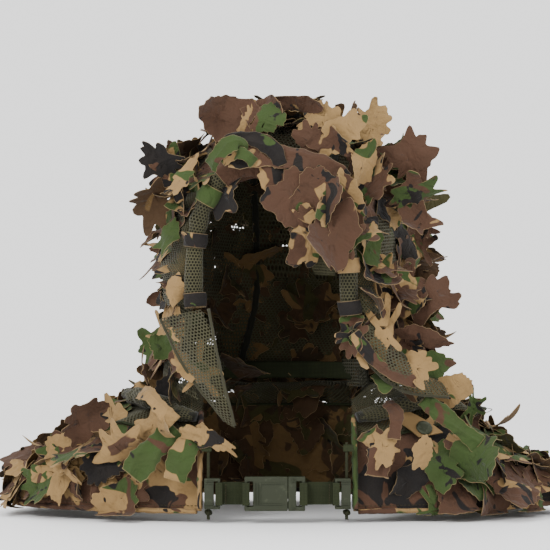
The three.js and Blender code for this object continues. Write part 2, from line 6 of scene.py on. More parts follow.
import bpy
import numpy as np
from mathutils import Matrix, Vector

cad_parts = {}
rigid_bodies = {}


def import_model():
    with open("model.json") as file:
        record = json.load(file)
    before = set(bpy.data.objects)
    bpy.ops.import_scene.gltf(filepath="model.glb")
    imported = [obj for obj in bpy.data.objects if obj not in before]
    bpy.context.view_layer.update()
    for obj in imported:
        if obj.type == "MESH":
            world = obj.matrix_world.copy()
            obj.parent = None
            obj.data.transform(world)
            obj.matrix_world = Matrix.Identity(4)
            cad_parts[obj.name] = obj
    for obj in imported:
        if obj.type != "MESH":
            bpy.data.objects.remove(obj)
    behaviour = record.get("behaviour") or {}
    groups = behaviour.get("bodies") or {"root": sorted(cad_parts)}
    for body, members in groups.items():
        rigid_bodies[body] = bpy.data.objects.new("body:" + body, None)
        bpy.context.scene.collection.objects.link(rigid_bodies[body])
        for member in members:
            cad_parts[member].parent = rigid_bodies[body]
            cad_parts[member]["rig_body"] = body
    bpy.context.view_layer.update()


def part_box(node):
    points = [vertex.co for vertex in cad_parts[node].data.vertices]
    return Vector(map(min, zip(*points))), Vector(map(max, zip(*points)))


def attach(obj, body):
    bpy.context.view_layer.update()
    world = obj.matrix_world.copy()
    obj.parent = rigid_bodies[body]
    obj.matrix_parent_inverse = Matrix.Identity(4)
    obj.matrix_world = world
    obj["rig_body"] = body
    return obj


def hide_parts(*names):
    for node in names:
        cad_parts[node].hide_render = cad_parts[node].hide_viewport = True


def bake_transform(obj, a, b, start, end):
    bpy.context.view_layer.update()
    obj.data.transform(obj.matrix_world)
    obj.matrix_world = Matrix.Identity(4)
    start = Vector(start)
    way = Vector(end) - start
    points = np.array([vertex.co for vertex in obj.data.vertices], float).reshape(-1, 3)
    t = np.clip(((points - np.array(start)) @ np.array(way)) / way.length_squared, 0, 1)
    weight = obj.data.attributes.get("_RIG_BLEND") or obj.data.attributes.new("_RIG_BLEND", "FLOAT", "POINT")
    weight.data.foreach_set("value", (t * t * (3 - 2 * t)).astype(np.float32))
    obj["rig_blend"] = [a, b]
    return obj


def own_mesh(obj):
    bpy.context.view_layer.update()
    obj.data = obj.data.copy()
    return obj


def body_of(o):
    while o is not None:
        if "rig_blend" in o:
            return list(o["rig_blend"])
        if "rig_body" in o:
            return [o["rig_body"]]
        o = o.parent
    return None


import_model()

MM = 0.001
RAD = math.pi / 180

# ---- The CAD surfaces, in millimetres ----
HOOD_WIDTH, HOOD_DEPTH, DOME, SPRING = 102.0, 115.0, 146.0, 140.0
HOOD_X, HOOD_Y, FACE_Y, STRIP = 4.0, 8.0, -85.0, 52.0
FLARE, FLARE_Z, POWER, TURN, LEAN = 0.12, 40.0, 2.4, -10 * RAD, 0.1
BOTTOM_LIFT, CASING_R, CASING_GAP = 9.0, 6.5, 3.0
NECK = {"side": 78.0, "front": 60.0, "back": 100.0}
HEM = {"side": 250.0, "front": 112.0, "back": 130.0}
NECK_Z = {"side": 42.0, "front": 8.0, "back": 40.0}
HEM_Z, CAPE_Y = -68.0, 10.0
YOKE, HEM_SHARE = 0.42, 0.985  # how far down the cape the yoke net and the cloth end
CROWN_SHARE, BEHIND_SHARE, NAPE_SHARE, TOP_ROW = 0.68, 0.32, 0.985, 0.985
CHEEK_Z, SEAM_X = 112.0, 51.5  # the height of the face edge's two ends, and how far out a crown seam is
SHOULDER_SINE, SHOULDER_DROP = 0.79, 0.21
EDGE_X = {-1: -74.0, 1: 60.0}
BACK_FROM = 128 * RAD


def mix(a, b, t):
    return a + (b - a) * t


def smooth(x, a, b):
    t = np.clip((np.asarray(x, float) - a) / (b - a), 0, 1)
    return t * t * (3 - 2 * t)


def spow(v, p):
    return np.sign(v) * np.abs(v) ** p


def vec(x, y, z):
    return np.stack(np.broadcast_arrays(x, y, z), -1).astype(float)


def unit(v):
    return v / np.maximum(np.linalg.norm(v, axis=-1, keepdims=True), 1e-9)


def turned(p):
    """The hood's turn and lean with the head."""
    x, y, z = p[..., 0], p[..., 1], p[..., 2]
    angle = TURN * smooth(z, 20, 130)
    lower = z - LEAN * x * smooth(z, 20, 230)
    c, s = np.cos(angle), np.sin(angle)
    return vec(x * c - y * s, x * s + y * c, lower)


def dome_scale(z):
    up = np.clip((np.asarray(z, float) - SPRING) / DOME, 0, 0.9999)
    return (1 - up**POWER) ** (1 / POWER)


def hood_width(z):
    return HOOD_WIDTH * dome_scale(z) * (1 + FLARE * (1 - smooth(z, FLARE_Z, SPRING)))


def hood_wall(side, azimuth, z):
    p = 2 / POWER
    x = HOOD_X + side * hood_width(z) * spow(np.sin(azimuth), p)
    return turned(vec(x, HOOD_Y - HOOD_DEPTH * dome_scale(z) * spow(np.cos(azimuth), p), z))


def wall_span(z):
    half = POWER / 2
    seam = np.arcsin(np.minimum(1, STRIP / hood_width(z)) ** half)
    reach = (HOOD_Y - FACE_Y) / (HOOD_DEPTH * dome_scale(z))
    face = np.arccos(np.minimum(1, reach) ** half)
    return np.maximum(seam, face), math.pi - seam


def neck_height(azimuth):
    end = np.where(np.cos(azimuth) > 0, NECK_Z["front"], NECK_Z["back"])
    return mix(NECK_Z["side"], end, np.cos(azimuth) ** 2)


def centre_strip(x, share, out=0.0):
    """x across the centre panel; share from the brow (0) over the crown to the nape (1)."""
    k = (1 - np.abs(x / HOOD_WIDTH) ** POWER) ** (1 / POWER)
    depth, height, p = HOOD_DEPTH * k + out, DOME * k + out, 2 / POWER
    brow = np.arccos(np.minimum(1, (HOOD_Y - FACE_Y) / depth) ** (1 / p))
    angle = mix(brow, math.pi, np.minimum(share / CROWN_SHARE, 1))
    down = np.clip((share - CROWN_SHARE) / BEHIND_SHARE, 0, 1.2)
    y = HOOD_Y - depth * spow(np.cos(angle), p)
    z = SPRING + height * np.abs(np.sin(angle)) ** p
    z = np.where(share > CROWN_SHARE, mix(SPRING, NECK_Z["back"] + BOTTOM_LIFT, down), z)
    return turned(vec(HOOD_X + x, y, z))


def face_edge(t):
    """The line of the casing, from the wearer's right cheek (0) over the brow to the left (1)."""
    t = np.asarray(t, float)
    straight, p = 0.22, 2 / POWER
    reach = (HOOD_Y - FACE_Y) / HOOD_DEPTH
    scale = (1 - reach**POWER) ** (1 / POWER)
    side, from_cheek = np.where(t < 0.5, -1, 1), np.minimum(t, 1 - t)
    arch = np.maximum(0, (from_cheek - straight) / (0.5 - straight)) * math.pi / 2
    drop = np.maximum(0, 1 - from_cheek / straight)
    x = side * HOOD_WIDTH * scale * spow(np.cos(arch), p)
    z = SPRING + DOME * scale * spow(np.sin(arch), p)
    return turned(vec(HOOD_X + x, FACE_Y - CASING_R - CASING_GAP, mix(z, CHEEK_Z, drop)))


def cape(side, azimuth, down, lift=0.0):
    azimuth, down = np.asarray(azimuth, float), np.asarray(down, float)
    front = np.cos(azimuth) > 0
    spread = np.sin(down * math.pi / 2)
    slope = SHOULDER_DROP * smooth(np.sin(azimuth), SHOULDER_SINE, 1) * np.sin(math.pi * down) ** 2
    fall = 1 - np.cos(down * math.pi / 2) + slope
    across = mix(NECK["side"], HEM["side"], spread) + lift
    ahead, behind = (mix(NECK[end], HEM[end], spread) for end in ("front", "back"))
    deep = np.where(front, ahead, behind) + lift * 0.5
    z = mix(neck_height(azimuth), HEM_Z, fall) + lift * (1 - spread * 0.6)
    return vec(side * across * np.sin(azimuth), CAPE_Y - deep * np.cos(azimuth), z)


def front_edge(side, down):
    across = mix(NECK["side"], HEM["side"], np.sin(np.asarray(down) * math.pi / 2))
    return np.arcsin(np.minimum(1, abs(EDGE_X[side]) / across))


# ---- Small tools ----
def noise(seed, size):
    """Smooth repeatable noise in about -1..1, a sum of sines in seeded directions."""
    rng = np.random.default_rng(seed)
    octave = np.repeat(np.arange(2), 6)
    count = len(octave)
    k = unit(rng.normal(size=(count, 3)))
    k = k * (2 * math.pi / size * 2**octave * rng.uniform(0.7, 1.3, count))[:, None]
    phase, amp = rng.uniform(0, 2 * math.pi, count), 0.5**octave
    return lambda p: (np.sin(p @ k.T + phase) * amp).sum(-1) / amp.sum() * 1.8


def sample(table, v):
    """Points at the shares v along a table of evenly spaced ones."""
    even = np.linspace(0, 1, len(table))
    return np.stack([np.interp(v, even, table[:, k]) for k in range(3)], -1)


def cells(rows, cols):
    """Row and column numbers of a grid, each as one flat list."""
    return [a.ravel() for a in np.meshgrid(rows, cols, indexing="ij")]


def normal_of(surface, u, v):
    e = 1e-3
    du = surface(u + e, v) - surface(u - e, v)
    dv = surface(u, v + e) - surface(u, v - e)
    return unit(np.cross(dv, du))


def bands(count, rows):
    """Quads between neighbouring rings of count points, one list for each row."""
    i = np.arange(count)
    k = (i + 1) % count
    corners = (i, k, k + count, i + count)
    return [np.stack([c + row * count for c in corners], -1) for row in range(rows)]


def make_mesh(name, co, quads, tris=None, points=None, material=None, smooth_faces=True):
    """A mesh object from millimetre points; points holds named per-point numbers or vectors."""
    mesh = bpy.data.meshes.new(name)
    quads = np.asarray(quads, np.int32).reshape(-1, 4)
    tris = np.zeros((0, 3), np.int32) if tris is None else np.asarray(tris, np.int32).reshape(-1, 3)
    mesh.vertices.add(len(co))
    mesh.vertices.foreach_set("co", (np.asarray(co, float) * MM).astype(np.float32).ravel())
    mesh.loops.add(quads.size + tris.size)
    mesh.loops.foreach_set("vertex_index", np.concatenate([quads.ravel(), tris.ravel()]))
    mesh.polygons.add(len(quads) + len(tris))
    starts = [np.arange(len(quads)) * 4, quads.size + np.arange(len(tris)) * 3]
    mesh.polygons.foreach_set("loop_start", np.concatenate(starts).astype(np.int32))
    for key, values in (points or {}).items():
        values = np.asarray(values, np.float32)
        kind = "FLOAT" if values.ndim == 1 else "FLOAT_VECTOR"
        field = "value" if values.ndim == 1 else "vector"
        mesh.attributes.new(key, kind, "POINT").data.foreach_set(field, values.ravel())
    mesh.polygons.foreach_set("use_smooth", np.full(len(mesh.polygons), smooth_faces))
    mesh.update(calc_edges=True)
    obj = bpy.data.objects.new(name, mesh)
    bpy.context.scene.collection.objects.link(obj)
    if material:
        mesh.materials.append(material)
    return obj


# Cloth that crosses a joint: two bodies, and the points where it leaves the first and joins the second.
BENDS = {
    "nape": ("cape", "hood", (0, 0.13, 0.02), (0, 0.07, 0.10)),
    "veil_root": ("hood", "veil", (0.009, -0.1092, 0.2432), (0.0069, -0.1089, 0.2224)),
    "tab_strip": ("cape", "right_tab", (-0.13, -0.064, 0.038), (-0.112, -0.096, 0.02)),
}


def place(obj, body, nodes=()):
    """The piece rides on the body, or bends between two by one of BENDS."""
    if body in BENDS:
        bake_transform(obj, *BENDS[body])
    else:
        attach(obj, body)
    if nodes:
        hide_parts(*([nodes] if isinstance(nodes, str) else nodes))
    return obj


class Bag:
    """Collects meshes with the same per-point fields into one."""

    def __init__(self):
        self.co, self.quads, self.tris, self.fields, self.count = [], [], [], {}, 0

    def add(self, co, quads, tris=None, **fields):
        self.co.append(co)
        self.quads.append(np.asarray(quads).reshape(-1, 4) + self.count)
        if tris is not None:
            self.tris.append(np.asarray(tris).reshape(-1, 3) + self.count)
        for key, values in fields.items():
            self.fields.setdefault(key, []).append(values)
        self.count += len(co)

    def build(self, name, material, smooth_faces=True):
        tris = np.concatenate(self.tris) if self.tris else None
        points = {k: np.concatenate(v) for k, v in self.fields.items()}
        co, quads = np.concatenate(self.co), np.concatenate(self.quads)
        return make_mesh(name, co, quads, tris, points, material, smooth_faces)


def grid(surface, nu, nv, thickness, wrap=False, lift=None):
    """A cloth of the given thickness on surface(u, v): points, quads, u, v, and which side is under."""
    us = np.arange(nu if wrap else nu + 1) / nu
    vs = np.arange(nv + 1) / nv
    v, u = cells(vs, us)
    p, n = surface(u, v), normal_of(surface, u, v)
    if lift is not None:
        p = p + n * lift(u, v, p)[:, None]
    co = np.concatenate([p, p - n * thickness])
    cols, layer = len(us), len(p)
    j, i = cells(np.arange(nv), np.arange(nu))
    a, b = j * cols + i, j * cols + (i + 1) % cols
    c, d = b + cols, a + cols
    quads = [np.stack([a, d, c, b], -1), np.stack([a, b, c, d], -1) + layer]
    for row, flip in ((0, False), (nv, True)):
        s = row * cols + np.arange(nu)
        e = row * cols + (np.arange(nu) + 1) % cols
        rim = np.stack([s, e, e + layer, s + layer], -1)
        quads.append(rim[:, ::-1] if flip else rim)
    if not wrap:
        for col, flip in ((0, True), (nu, False)):
            s = np.arange(nv) * cols + col
            rim = np.stack([s, s + cols, s + cols + layer, s + layer], -1)
            quads.append(rim[:, ::-1] if flip else rim)
    under = np.repeat([0.0, 1.0], layer)
    return co, np.concatenate(quads), np.tile(u, 2), np.tile(v, 2), under


HEX = [(0, 2 / 3), (0.5, 1 / 3), (0.5, -1 / 3), (0, -2 / 3), (-0.5, -1 / 3), (-0.5, 1 / 3)]
HOLE, STRAND = 0.56, 0.45  # a hole's width in shares of its cell, and how far a strand stands up
ROW_STEP, KEY = 0.866, 100000  # a row's height in cell widths, and a number above any column's


def net(name, surface, width, height, pitch, wrap=False, keep=None, lift=None):
    """Open knitted mesh of real holes on surface(u, v): staggered six-sided cells of the given pitch."""
    cols, rows = max(3, round(width / pitch)), max(2, round(height / (pitch * ROW_STEP)))
    r, c = cells(np.arange(rows), np.arange(cols))
    cx, cy = c + 0.5 * (r % 2) + (0 if wrap else 0.5), r + 2 / 3
    across, along = (cols if wrap else cols + 0.5), rows + 1 / 3
    if keep is not None:
        kept = keep(cx / across, cy / along)
        cx, cy = cx[kept], cy[kept]
    centres, corners = np.stack([cx, cy], -1)[:, None], np.array(HEX)
    outer, inner = centres + corners, centres + corners * HOLE
    kx, ky = np.rint(outer[..., 0] * 2).astype(int), np.rint(outer[..., 1] * 3).astype(int)
    if wrap:
        kx %= 2 * cols
    keys, index = np.unique((ky * KEY + kx).ravel(), return_inverse=True)
    index = index.reshape(-1, 6)
    ox, oy = (keys % KEY) / 2, (keys // KEY) / 3
    u = np.concatenate([ox, inner[..., 0].ravel()]) / across
    v = np.concatenate([oy, inner[..., 1].ravel()]) / along
    if not wrap:
        u = np.clip(u, 0, 1)
    v = np.clip(v, 0, 1)
    p, n = surface(u, v), normal_of(surface, u, v)
    if lift is not None:
        p = p + n * lift(u, v, p)[:, None]
    raised = np.concatenate([np.full(len(keys), STRAND), np.zeros(inner.shape[0] * 6)])
    p = p + n * raised[:, None]
    ring = len(keys) + np.arange(inner.shape[0] * 6).reshape(-1, 6)
    turns = [(k, (k + 1) % 6) for k in range(6)]
    quads = [np.stack([index[:, a], index[:, b], ring[:, b], ring[:, a]], -1) for a, b in turns]
    # strand marks each strand's raised crown, which the net material paints with a highlight, and with
    # painted shade towards the holes.
    return make_mesh(name, p, np.concatenate(quads), points={"strand": raised / STRAND}, material=NET)


def path_frames(points, count):
    """Points evenly along a smooth curve through the given ones, with their tangents."""
    points = np.asarray(points, float)
    t = np.linspace(0, len(points) - 1, count * 4)
    i = np.clip(t.astype(int), 0, len(points) - 2)
    f = (t - i)[:, None]
    padded = np.concatenate([[2 * points[0] - points[1]], points, [2 * points[-1] - points[-2]]])
    p0, p1, p2, p3 = padded[i], padded[i + 1], padded[i + 2], padded[i + 3]
    square, cube = 2 * p0 - 5 * p1 + 4 * p2 - p3, 3 * p1 - p0 - 3 * p2 + p3
    c = 0.5 * (2 * p1 + (p2 - p0) * f + square * f**2 + cube * f**3)
    s = np.concatenate([[0], np.cumsum(np.linalg.norm(np.diff(c, axis=0), axis=1))])
    even = np.linspace(0, s[-1], count)
    c = np.stack([np.interp(even, s, c[:, k]) for k in range(3)], -1)
    return c, unit(np.gradient(c, axis=0)), s[-1]


def tube_surface(points, radius, across=(0, 1, 0), flat=1.0, count=80):
    """surface(u, v) of a tube: u round it, v along it. radius may be a function of (u, v)."""
    c, t, length = path_frames(points, count)
    a = unit(np.asarray(across, float) - (t @ np.asarray(across, float))[:, None] * t)
    b = np.cross(a, t)

    def surface(u, v):
        r = radius(u, v) if callable(radius) else radius
        angle = 2 * math.pi * u
        out = sample(a, v) * np.cos(angle)[..., None] * flat + sample(b, v) * np.sin(angle)[..., None]
        return sample(c, v) + out * (np.asarray(r)[..., None] if np.ndim(r) else r)

    return surface, length


# ---- Materials ----
class Nodes:
    """A new material, and a short way to write its nodes."""

    def __init__(self, name):
        self.material = bpy.data.materials.new(name)
        self.material.use_nodes = True
        self.tree = self.material.node_tree
        self.shader = self.tree.nodes["Principled BSDF"]

    def add(self, kind, inputs=None, **settings):
        node = self.tree.nodes.new(kind)
        for key, value in settings.items():
            setattr(node, key, value)
        for key, value in (inputs or {}).items():
            self.set(node.inputs[key], value)
        return node

    def set(self, socket, value):
        if isinstance(value, bpy.types.NodeSocket):
            self.tree.links.new(value, socket)
        else:
            socket.default_value = value

    def math(self, operation, a, b=0.0, c=0.0):
        return self.add("ShaderNodeMath", {0: a, 1: b, 2: c}, operation=operation).outputs[0]

    def place(self):
        return self.add("ShaderNodeTexCoord").outputs["Object"]

    def noise(self, vector, scale, detail=2.0, rough=0.5, distort=0.0):
        inputs = {"Vector": vector, "Scale": scale, "Detail": detail, "Roughness": rough}
        return self.add("ShaderNodeTexNoise", inputs | {"Distortion": distort}).outputs["Fac"]

    def wave(self, vector, scale, distort, detail=2.0, direction="X"):
        inputs = {"Vector": vector, "Scale": scale, "Distortion": distort, "Detail": detail}
        return self.add("ShaderNodeTexWave", inputs, bands_direction=direction).outputs["Fac"]

    def attribute(self, name, output="Vector"):
        return self.add("ShaderNodeAttribute", attribute_name=name).outputs[output]

    def span(self, value, low, high, start=0.0, end=1.0):
        inputs = {"Value": value, "From Min": start, "From Max": end, "To Min": low, "To Max": high}
        return self.add("ShaderNodeMapRange", inputs).outputs[0]

    def step(self, value, edge, soft=0.006):
        return self.span(value, 0.0, 1.0, edge - soft, edge + soft)

    def mix(self, factor, a, b, blend="MIX"):
        node = self.add("ShaderNodeMix", data_type="RGBA", blend_type=blend)
        self.set(node.inputs[0], factor)
        self.set(node.inputs[6], a)
        self.set(node.inputs[7], b)
        return node.outputs[2]

    def shift(self, vector, by):
        return self.add("ShaderNodeVectorMath", {0: vector, 1: by}, operation="ADD").outputs[0]

    def bump(self, height, strength, distance, normal=None):
        inputs = {"Height": height, "Strength": strength, "Distance": distance}
        if normal is not None:
            inputs["Normal"] = normal
        return self.add("ShaderNodeBump", inputs).outputs[0]

    def finish(self, colour, normal, rough, specular, **others):
        """Joins the shader up. others are its remaining sockets by name, with _ for a space."""
        inputs = {"Base Color": colour, "Normal": normal, "Roughness": rough, "Specular IOR Level": specular}
        inputs |= {key.replace("_", " "): value for key, value in others.items()}
        for key, value in inputs.items():
            self.set(self.shader.inputs[key], value)
        return self.material


def srgb(r, g, b):
    def one(c):
        c /= 255
        return c / 12.92 if c <= 0.04045 else ((c + 0.055) / 1.055) ** 2.4

    return (one(r), one(g), one(b), 1.0)


TAN, BROWN = srgb(142, 114, 74), srgb(71, 48, 35)
GREEN, BLACK = srgb(50, 68, 30), srgb(15, 15, 17)
UNDER_TINT, CUT_EDGE = srgb(84, 68, 46), srgb(158, 134, 96)


def camo_material():
    """Woodland print in the cloth's own flat coordinates (fab, in metres). Each leaf leans to one
    colour by its bias. The under side shows the print faded, and the laser-cut edge is pale."""
    n = Nodes("camo_cloth")
    fab, bias = n.attribute("fab"), n.add("ShaderNodeSeparateXYZ", {0: n.attribute("bias")})
    under, edge = n.attribute("under", "Fac"), n.attribute("edge", "Fac")
    big = n.noise(fab, 24, 2.5, 0.5, 0.5)
    mid = n.noise(n.shift(fab, (3.1, 1.7, 0.4)), 26, 2.5, 0.5, 0.6)
    fine = n.noise(n.shift(fab, (7.3, 4.9, 1.1)), 34, 2.5, 0.55, 0.9)
    green = n.step(n.math("ADD", big, bias.outputs[1]), 0.53)
    brown = n.step(n.math("ADD", mid, bias.outputs[0]), 0.51)
    black = n.step(n.math("ADD", fine, bias.outputs[2]), 0.595)
    colour = n.mix(green, TAN, GREEN)
    colour = n.mix(brown, colour, BROWN)
    colour = n.mix(black, colour, BLACK)
    fade = n.noise(fab, 60, 3)
    colour = n.mix(n.math("MULTIPLY", fade, 0.35), colour, srgb(60, 52, 44))
    back = n.mix(0.45, colour, UNDER_TINT)
    back = n.mix(1.0, back, srgb(206, 200, 190), "MULTIPLY")
    colour = n.mix(under, colour, back)
    rim = n.math("MULTIPLY", n.step(edge, 0.75, 0.2), 0.5)
    colour = n.mix(rim, colour, CUT_EDGE)
    twill = n.wave(fab, 420.0, 0.6, 1.0, "DIAGONAL")
    crumple, creases = n.noise(fab, 170, 4, 0.6), n.noise(fab, 62, 3, 0.45, 1.2)
    relief = n.bump(crumple, 0.6, 0.0014, n.bump(creases, 0.8, 0.005))
    relief = n.bump(twill, 0.3, 0.0002, relief)
    return n.finish(colour, relief, n.span(fade, 0.78, 0.95), 0.15, Sheen_Weight=0.05)


def net_material(name, colour, dark):
    """Knitted olive strands in random patches of tone, with a painted highlight on the crown of each strand
    and painted shade down its sides towards the holes.
    """
    n = Nodes(name)
    place_at = n.place()
    patch, fibre = n.noise(place_at, 22, 3), n.noise(place_at, 1400, 2, 0.7)
    # Painted highlight and shade: the strand attribute is 1 on a strand's raised crown and 0 at the holes, so
    # the crown gets the light colour and the hole edges the dark one.
    crown = n.math("MULTIPLY_ADD", n.attribute("strand", "Fac"), 0.6, 0.4)
    tone = n.mix(n.math("MULTIPLY", crown, n.math("ADD", patch, 0.3)), dark, colour)
    colour = n.mix(n.math("MULTIPLY", fibre, 0.35), tone, dark)
    return n.finish(colour, n.bump(fibre, 0.6, 0.0003), n.span(fibre, 0.8, 1.0), 0.2, Sheen_Weight=0.15)


RIB = 314  # the wave node's scale for one rib in a millimetre


def woven_material(name, colour, dark, across=(1, 0, 0), pitch=1.3):
    """Webbing, tape and cord: ribs at the given pitch in millimetres, with a finer cross weave."""
    n = Nodes(name)
    place_at = n.place()
    turn = {"Vector": place_at, "Axis": across, "Angle": 0.6}
    turned_at = n.add("ShaderNodeVectorRotate", turn, rotation_type="AXIS_ANGLE").outputs[0]
    rib = n.wave(turned_at, RIB / pitch, 0.8, 1.0)
    weave = n.math("MULTIPLY", rib, n.wave(place_at, RIB / pitch, 0.5, direction="Z"))
    patch = n.noise(place_at, 90, 3)
    tone = n.mix(n.math("MULTIPLY_ADD", weave, 0.55, n.math("MULTIPLY", patch, 0.35)), dark, colour)
    return n.finish(tone, n.bump(weave, 0.7, 0.0004), n.span(patch, 0.75, 0.95), 0.1)


def hard_material(name, colour, worn, metallic, rough):
    """Moulded plastic or enamelled metal with a fine grain and scuffs."""
    n = Nodes(name)
    place_at = n.place()
    grain, scuff = n.noise(place_at, 2200, 2, 0.6), n.noise(place_at, 220, 5, 0.7, 0.4)
    wear = n.math("MULTIPLY", n.step(scuff, 0.64, 0.08), 0.55)
    colour, relief = n.mix(wear, colour, worn), n.bump(grain, 0.35, 0.0002)
    return n.finish(colour, relief, n.span(scuff, rough, rough + 0.25), 0.22, Metallic=metallic)


CAMO = camo_material()
# Each net's second colour is its painted shade towards the holes as well as the dark of its fibres.
NET = net_material("net_olive", srgb(78, 75, 52), srgb(30, 30, 20))
NET_CORE = net_material("net_core", srgb(44, 43, 30), srgb(16, 16, 12))
WEBBING = woven_material("webbing_olive", srgb(58, 64, 42), srgb(26, 29, 19))
CORD = woven_material("cord_olive", srgb(66, 68, 48), srgb(28, 29, 20), (0, 0, 1), 0.8)
PLASTIC = hard_material("plastic_olive", srgb(40, 44, 30), srgb(74, 78, 60), 0.0, 0.42)
METAL = hard_material("snap_enamel", srgb(60, 64, 50), srgb(120, 124, 108), 0.55, 0.3)
THREAD = woven_material("thread", srgb(72, 66, 48), srgb(40, 36, 26), (0, 0, 1), 0.5)


# ---- Leaves ----
# Body radius, lobes, reach and breadth of a lobe, how blunt it is, and the size of the teeth
OUTLINES = {
    "maple": (0.3, 7, (0.44, 0.58), (0.18, 0.3), 2.1, 0.05),
    "oak": (0.34, 9, (0.44, 0.54), (0.14, 0.24), 3.4, 0.02),
    "stag": (0.22, 5, (0.5, 0.62), (0.14, 0.22), 4.0, 0.01),
    "torn": (0.37, 6, (0.42, 0.55), (0.24, 0.44), 2.0, 0.06),
    "strip": (0.42, 9, (0.44, 0.52), (0.12, 0.24), 2.0, 0.03),
}


def outline(rng, kind):
    """One leaf outline about its middle: radius by angle, in shares of the leaf's length."""
    count = 80
    body, lobes, reach, breadth, blunt, teeth = OUTLINES[kind]
    lobes += rng.integers(-1, 2)
    angle = -math.pi / 2 + np.arange(count) / count * 2 * math.pi
    at = -math.pi / 2 + (np.arange(lobes) + 1) / (lobes + 1) * 2 * math.pi
    at = at + rng.uniform(-0.34, 0.34, lobes)
    tall, wide = rng.uniform(reach[0] - 0.05, reach[1] + 0.02, lobes), rng.uniform(*breadth, lobes)
    at, tall, wide = np.append(at, -math.pi / 2), np.append(tall, 0.5), np.append(wide, 0.3)
    away = np.abs((angle[:, None] - at + math.pi) % (2 * math.pi) - math.pi)
    rise = (tall - body) * np.exp(-((away / wide) ** blunt))
    r = body * (1 + 0.14 * np.sin(2 * angle + rng.uniform(0, 6))) + (np.maximum(rise, 0) ** 4).sum(1) ** 0.25
    saw = np.abs((angle * rng.integers(12, 19) / math.pi) % 2 - 1) - 0.5
    return angle, r * (1 + teeth * 1.6 * saw + 0.012 * rng.normal(size=count))


HEM_LEVEL, CROWN_LEVEL, HALF_CLOTH = -71.0, 307.0, 0.22
SOFT_TOP, SOFT_HEM = 9, 7  # heights over which a leaf is turned flat
# Shares of brown, tan, green, black and mixed leaves
TONES, DARK_TONES = (0.3, 0.17, 0.14, 0.09, 0.3), (0.42, 0.03, 0.17, 0.18, 0.2)


def bent(p, along):
    """Turns the parts of a leaf that would pass the hem's level or the crown's top flat."""
    z = p[..., 2]
    top = CROWN_LEVEL + 4 * np.sin(p[..., 0] / 13) * np.cos(p[..., 1] / 19)
    over, under = np.maximum(z - (top - SOFT_TOP), 0), np.maximum(HEM_LEVEL + SOFT_HEM - z, 0)
    high = over - SOFT_TOP * (1 - np.exp(-over / SOFT_TOP))
    low = under - SOFT_HEM * (1 - np.exp(-under / SOFT_HEM))
    ahead = unit(np.array([along[0], along[1] + 1e-3, 0.0]))
    return p + vec(0, 0, low - high) + 0.6 * (high + low)[..., None] * ahead


def leaf(bag, rng, root, along, face, length, curl, kind=None, tint=None, width=None, wave=1.0, tones=TONES):
    """One laser-cut leaf: root point, the way it points, and the way its printed side faces."""
    kind = kind or rng.choice(["maple", "maple", "oak", "torn", "torn", "stag", "strip"])
    angle, r = outline(rng, kind)
    count = len(angle)
    width = width or rng.uniform(*((0.4, 0.6) if kind == "strip" else (0.68, 1.0)))
    inset = np.maximum(r - 0.4 / length, r * 0.9)
    rings = np.concatenate([r, inset, inset * 0.62, inset * 0.26])
    turn = np.tile(angle, 4)
    x, y = rings * np.cos(turn) * width * length, (rings * np.sin(turn) + 0.5) * length
    x = x * (1 + rng.uniform(-0.3, 0.35) * (y / length - 0.5) * 2)
    x = x + rng.uniform(-0.12, 0.12) * y * y / length
    bend = curl / length
    cup, twist = rng.uniform(-0.8, 1.1) / length, rng.uniform(-0.9, 0.9) / length
    fold = rng.uniform(-0.3, 0.4)
    crumple = noise(int(rng.integers(1 << 30)), 40)
    ripple, phase = rng.uniform(1.4, 3.6) * wave, rng.uniform(0, 6)
    edge_k, edge_n = rng.integers(2, 5), rng.uniform(0, 6)

    def shape(x, y):
        far = np.hypot(x / width, y - length / 2) / (length / 2)
        z = cup * x * x + fold * np.abs(x) + ripple * crumple(vec(x, y, phase * 40))
        z = z + 0.055 * length * far**3 * np.sin(edge_k * np.arctan2(y - length / 2, x) + edge_n) * wave
        t = twist * y
        x, z = x * np.cos(t) - z * np.sin(t), x * np.sin(t) + z * np.cos(t)
        a = bend * y
        safe = np.where(np.abs(a) < 1e-6, 1e-6, a)
        yy = y * np.sin(safe) / safe - z * np.sin(a)
        zz = y * (1 - np.cos(safe)) / safe + z * np.cos(a)
        return vec(x, yy, zz)

    ey = unit(np.asarray(along, float))
    ex = unit(np.cross(ey, np.asarray(face, float)))
    frame_of = np.stack([ex, ey, np.cross(ex, ey)])
    mid = bent(np.asarray(root, float) + shape(x, y) @ frame_of, ey).reshape(4, count, 3)
    around = np.roll(mid, -1, 1) - np.roll(mid, 1, 1)
    inward = np.stack([mid[1] - mid[0], mid[2] - mid[0], mid[3] - mid[1], mid[3] - mid[2]])
    nrm = unit(np.cross(around, inward)).reshape(-1, 3) * HALF_CLOTH
    mid = mid.reshape(-1, 3)
    co = np.concatenate([mid + nrm, mid - nrm])
    h, half = np.arange(1, count // 2 - 1), count // 2
    middle = np.stack([h, h + 1, count - h - 1, count - h], -1) + 3 * count
    tris = np.array([[0, 1, count - 1], [half, half + 1, half - 1]]) + 3 * count
    top = np.concatenate([*bands(count, 3), middle])
    i = np.arange(count)
    k, layer = (i + 1) % count, 4 * count
    if rng.random() < 0.1:
        top = np.delete(top, [count * 2 + 9, count * 2 + 10], 0)
    rim = np.stack([i, i + layer, k + layer, k], -1)
    quads = np.concatenate([top, top[:, ::-1] + layer, rim])
    tris = np.concatenate([tris, tris[:, ::-1] + layer])
    at = rng.uniform(0, 40, 3)
    spin = rng.uniform(0, 6.3)
    c, s = math.cos(spin), math.sin(spin)
    fab = vec((x * c - y * s) * MM + at[0], (x * s + y * c) * MM + at[1], at[2])
    tint = tint or rng.choice(["brown", "tan", "green", "black", "mixed"], p=tones)
    bias, under = np.tile(BIASES[tint], (2 * layer, 1)), np.repeat([0.0, 1.0], layer)
    edge = np.tile(np.repeat([1.0, 0.35, 0.0, 0.0], count), 2)
    bag.add(co, quads, tris, fab=np.tile(fab, (2, 1)), bias=bias, under=under, edge=edge)


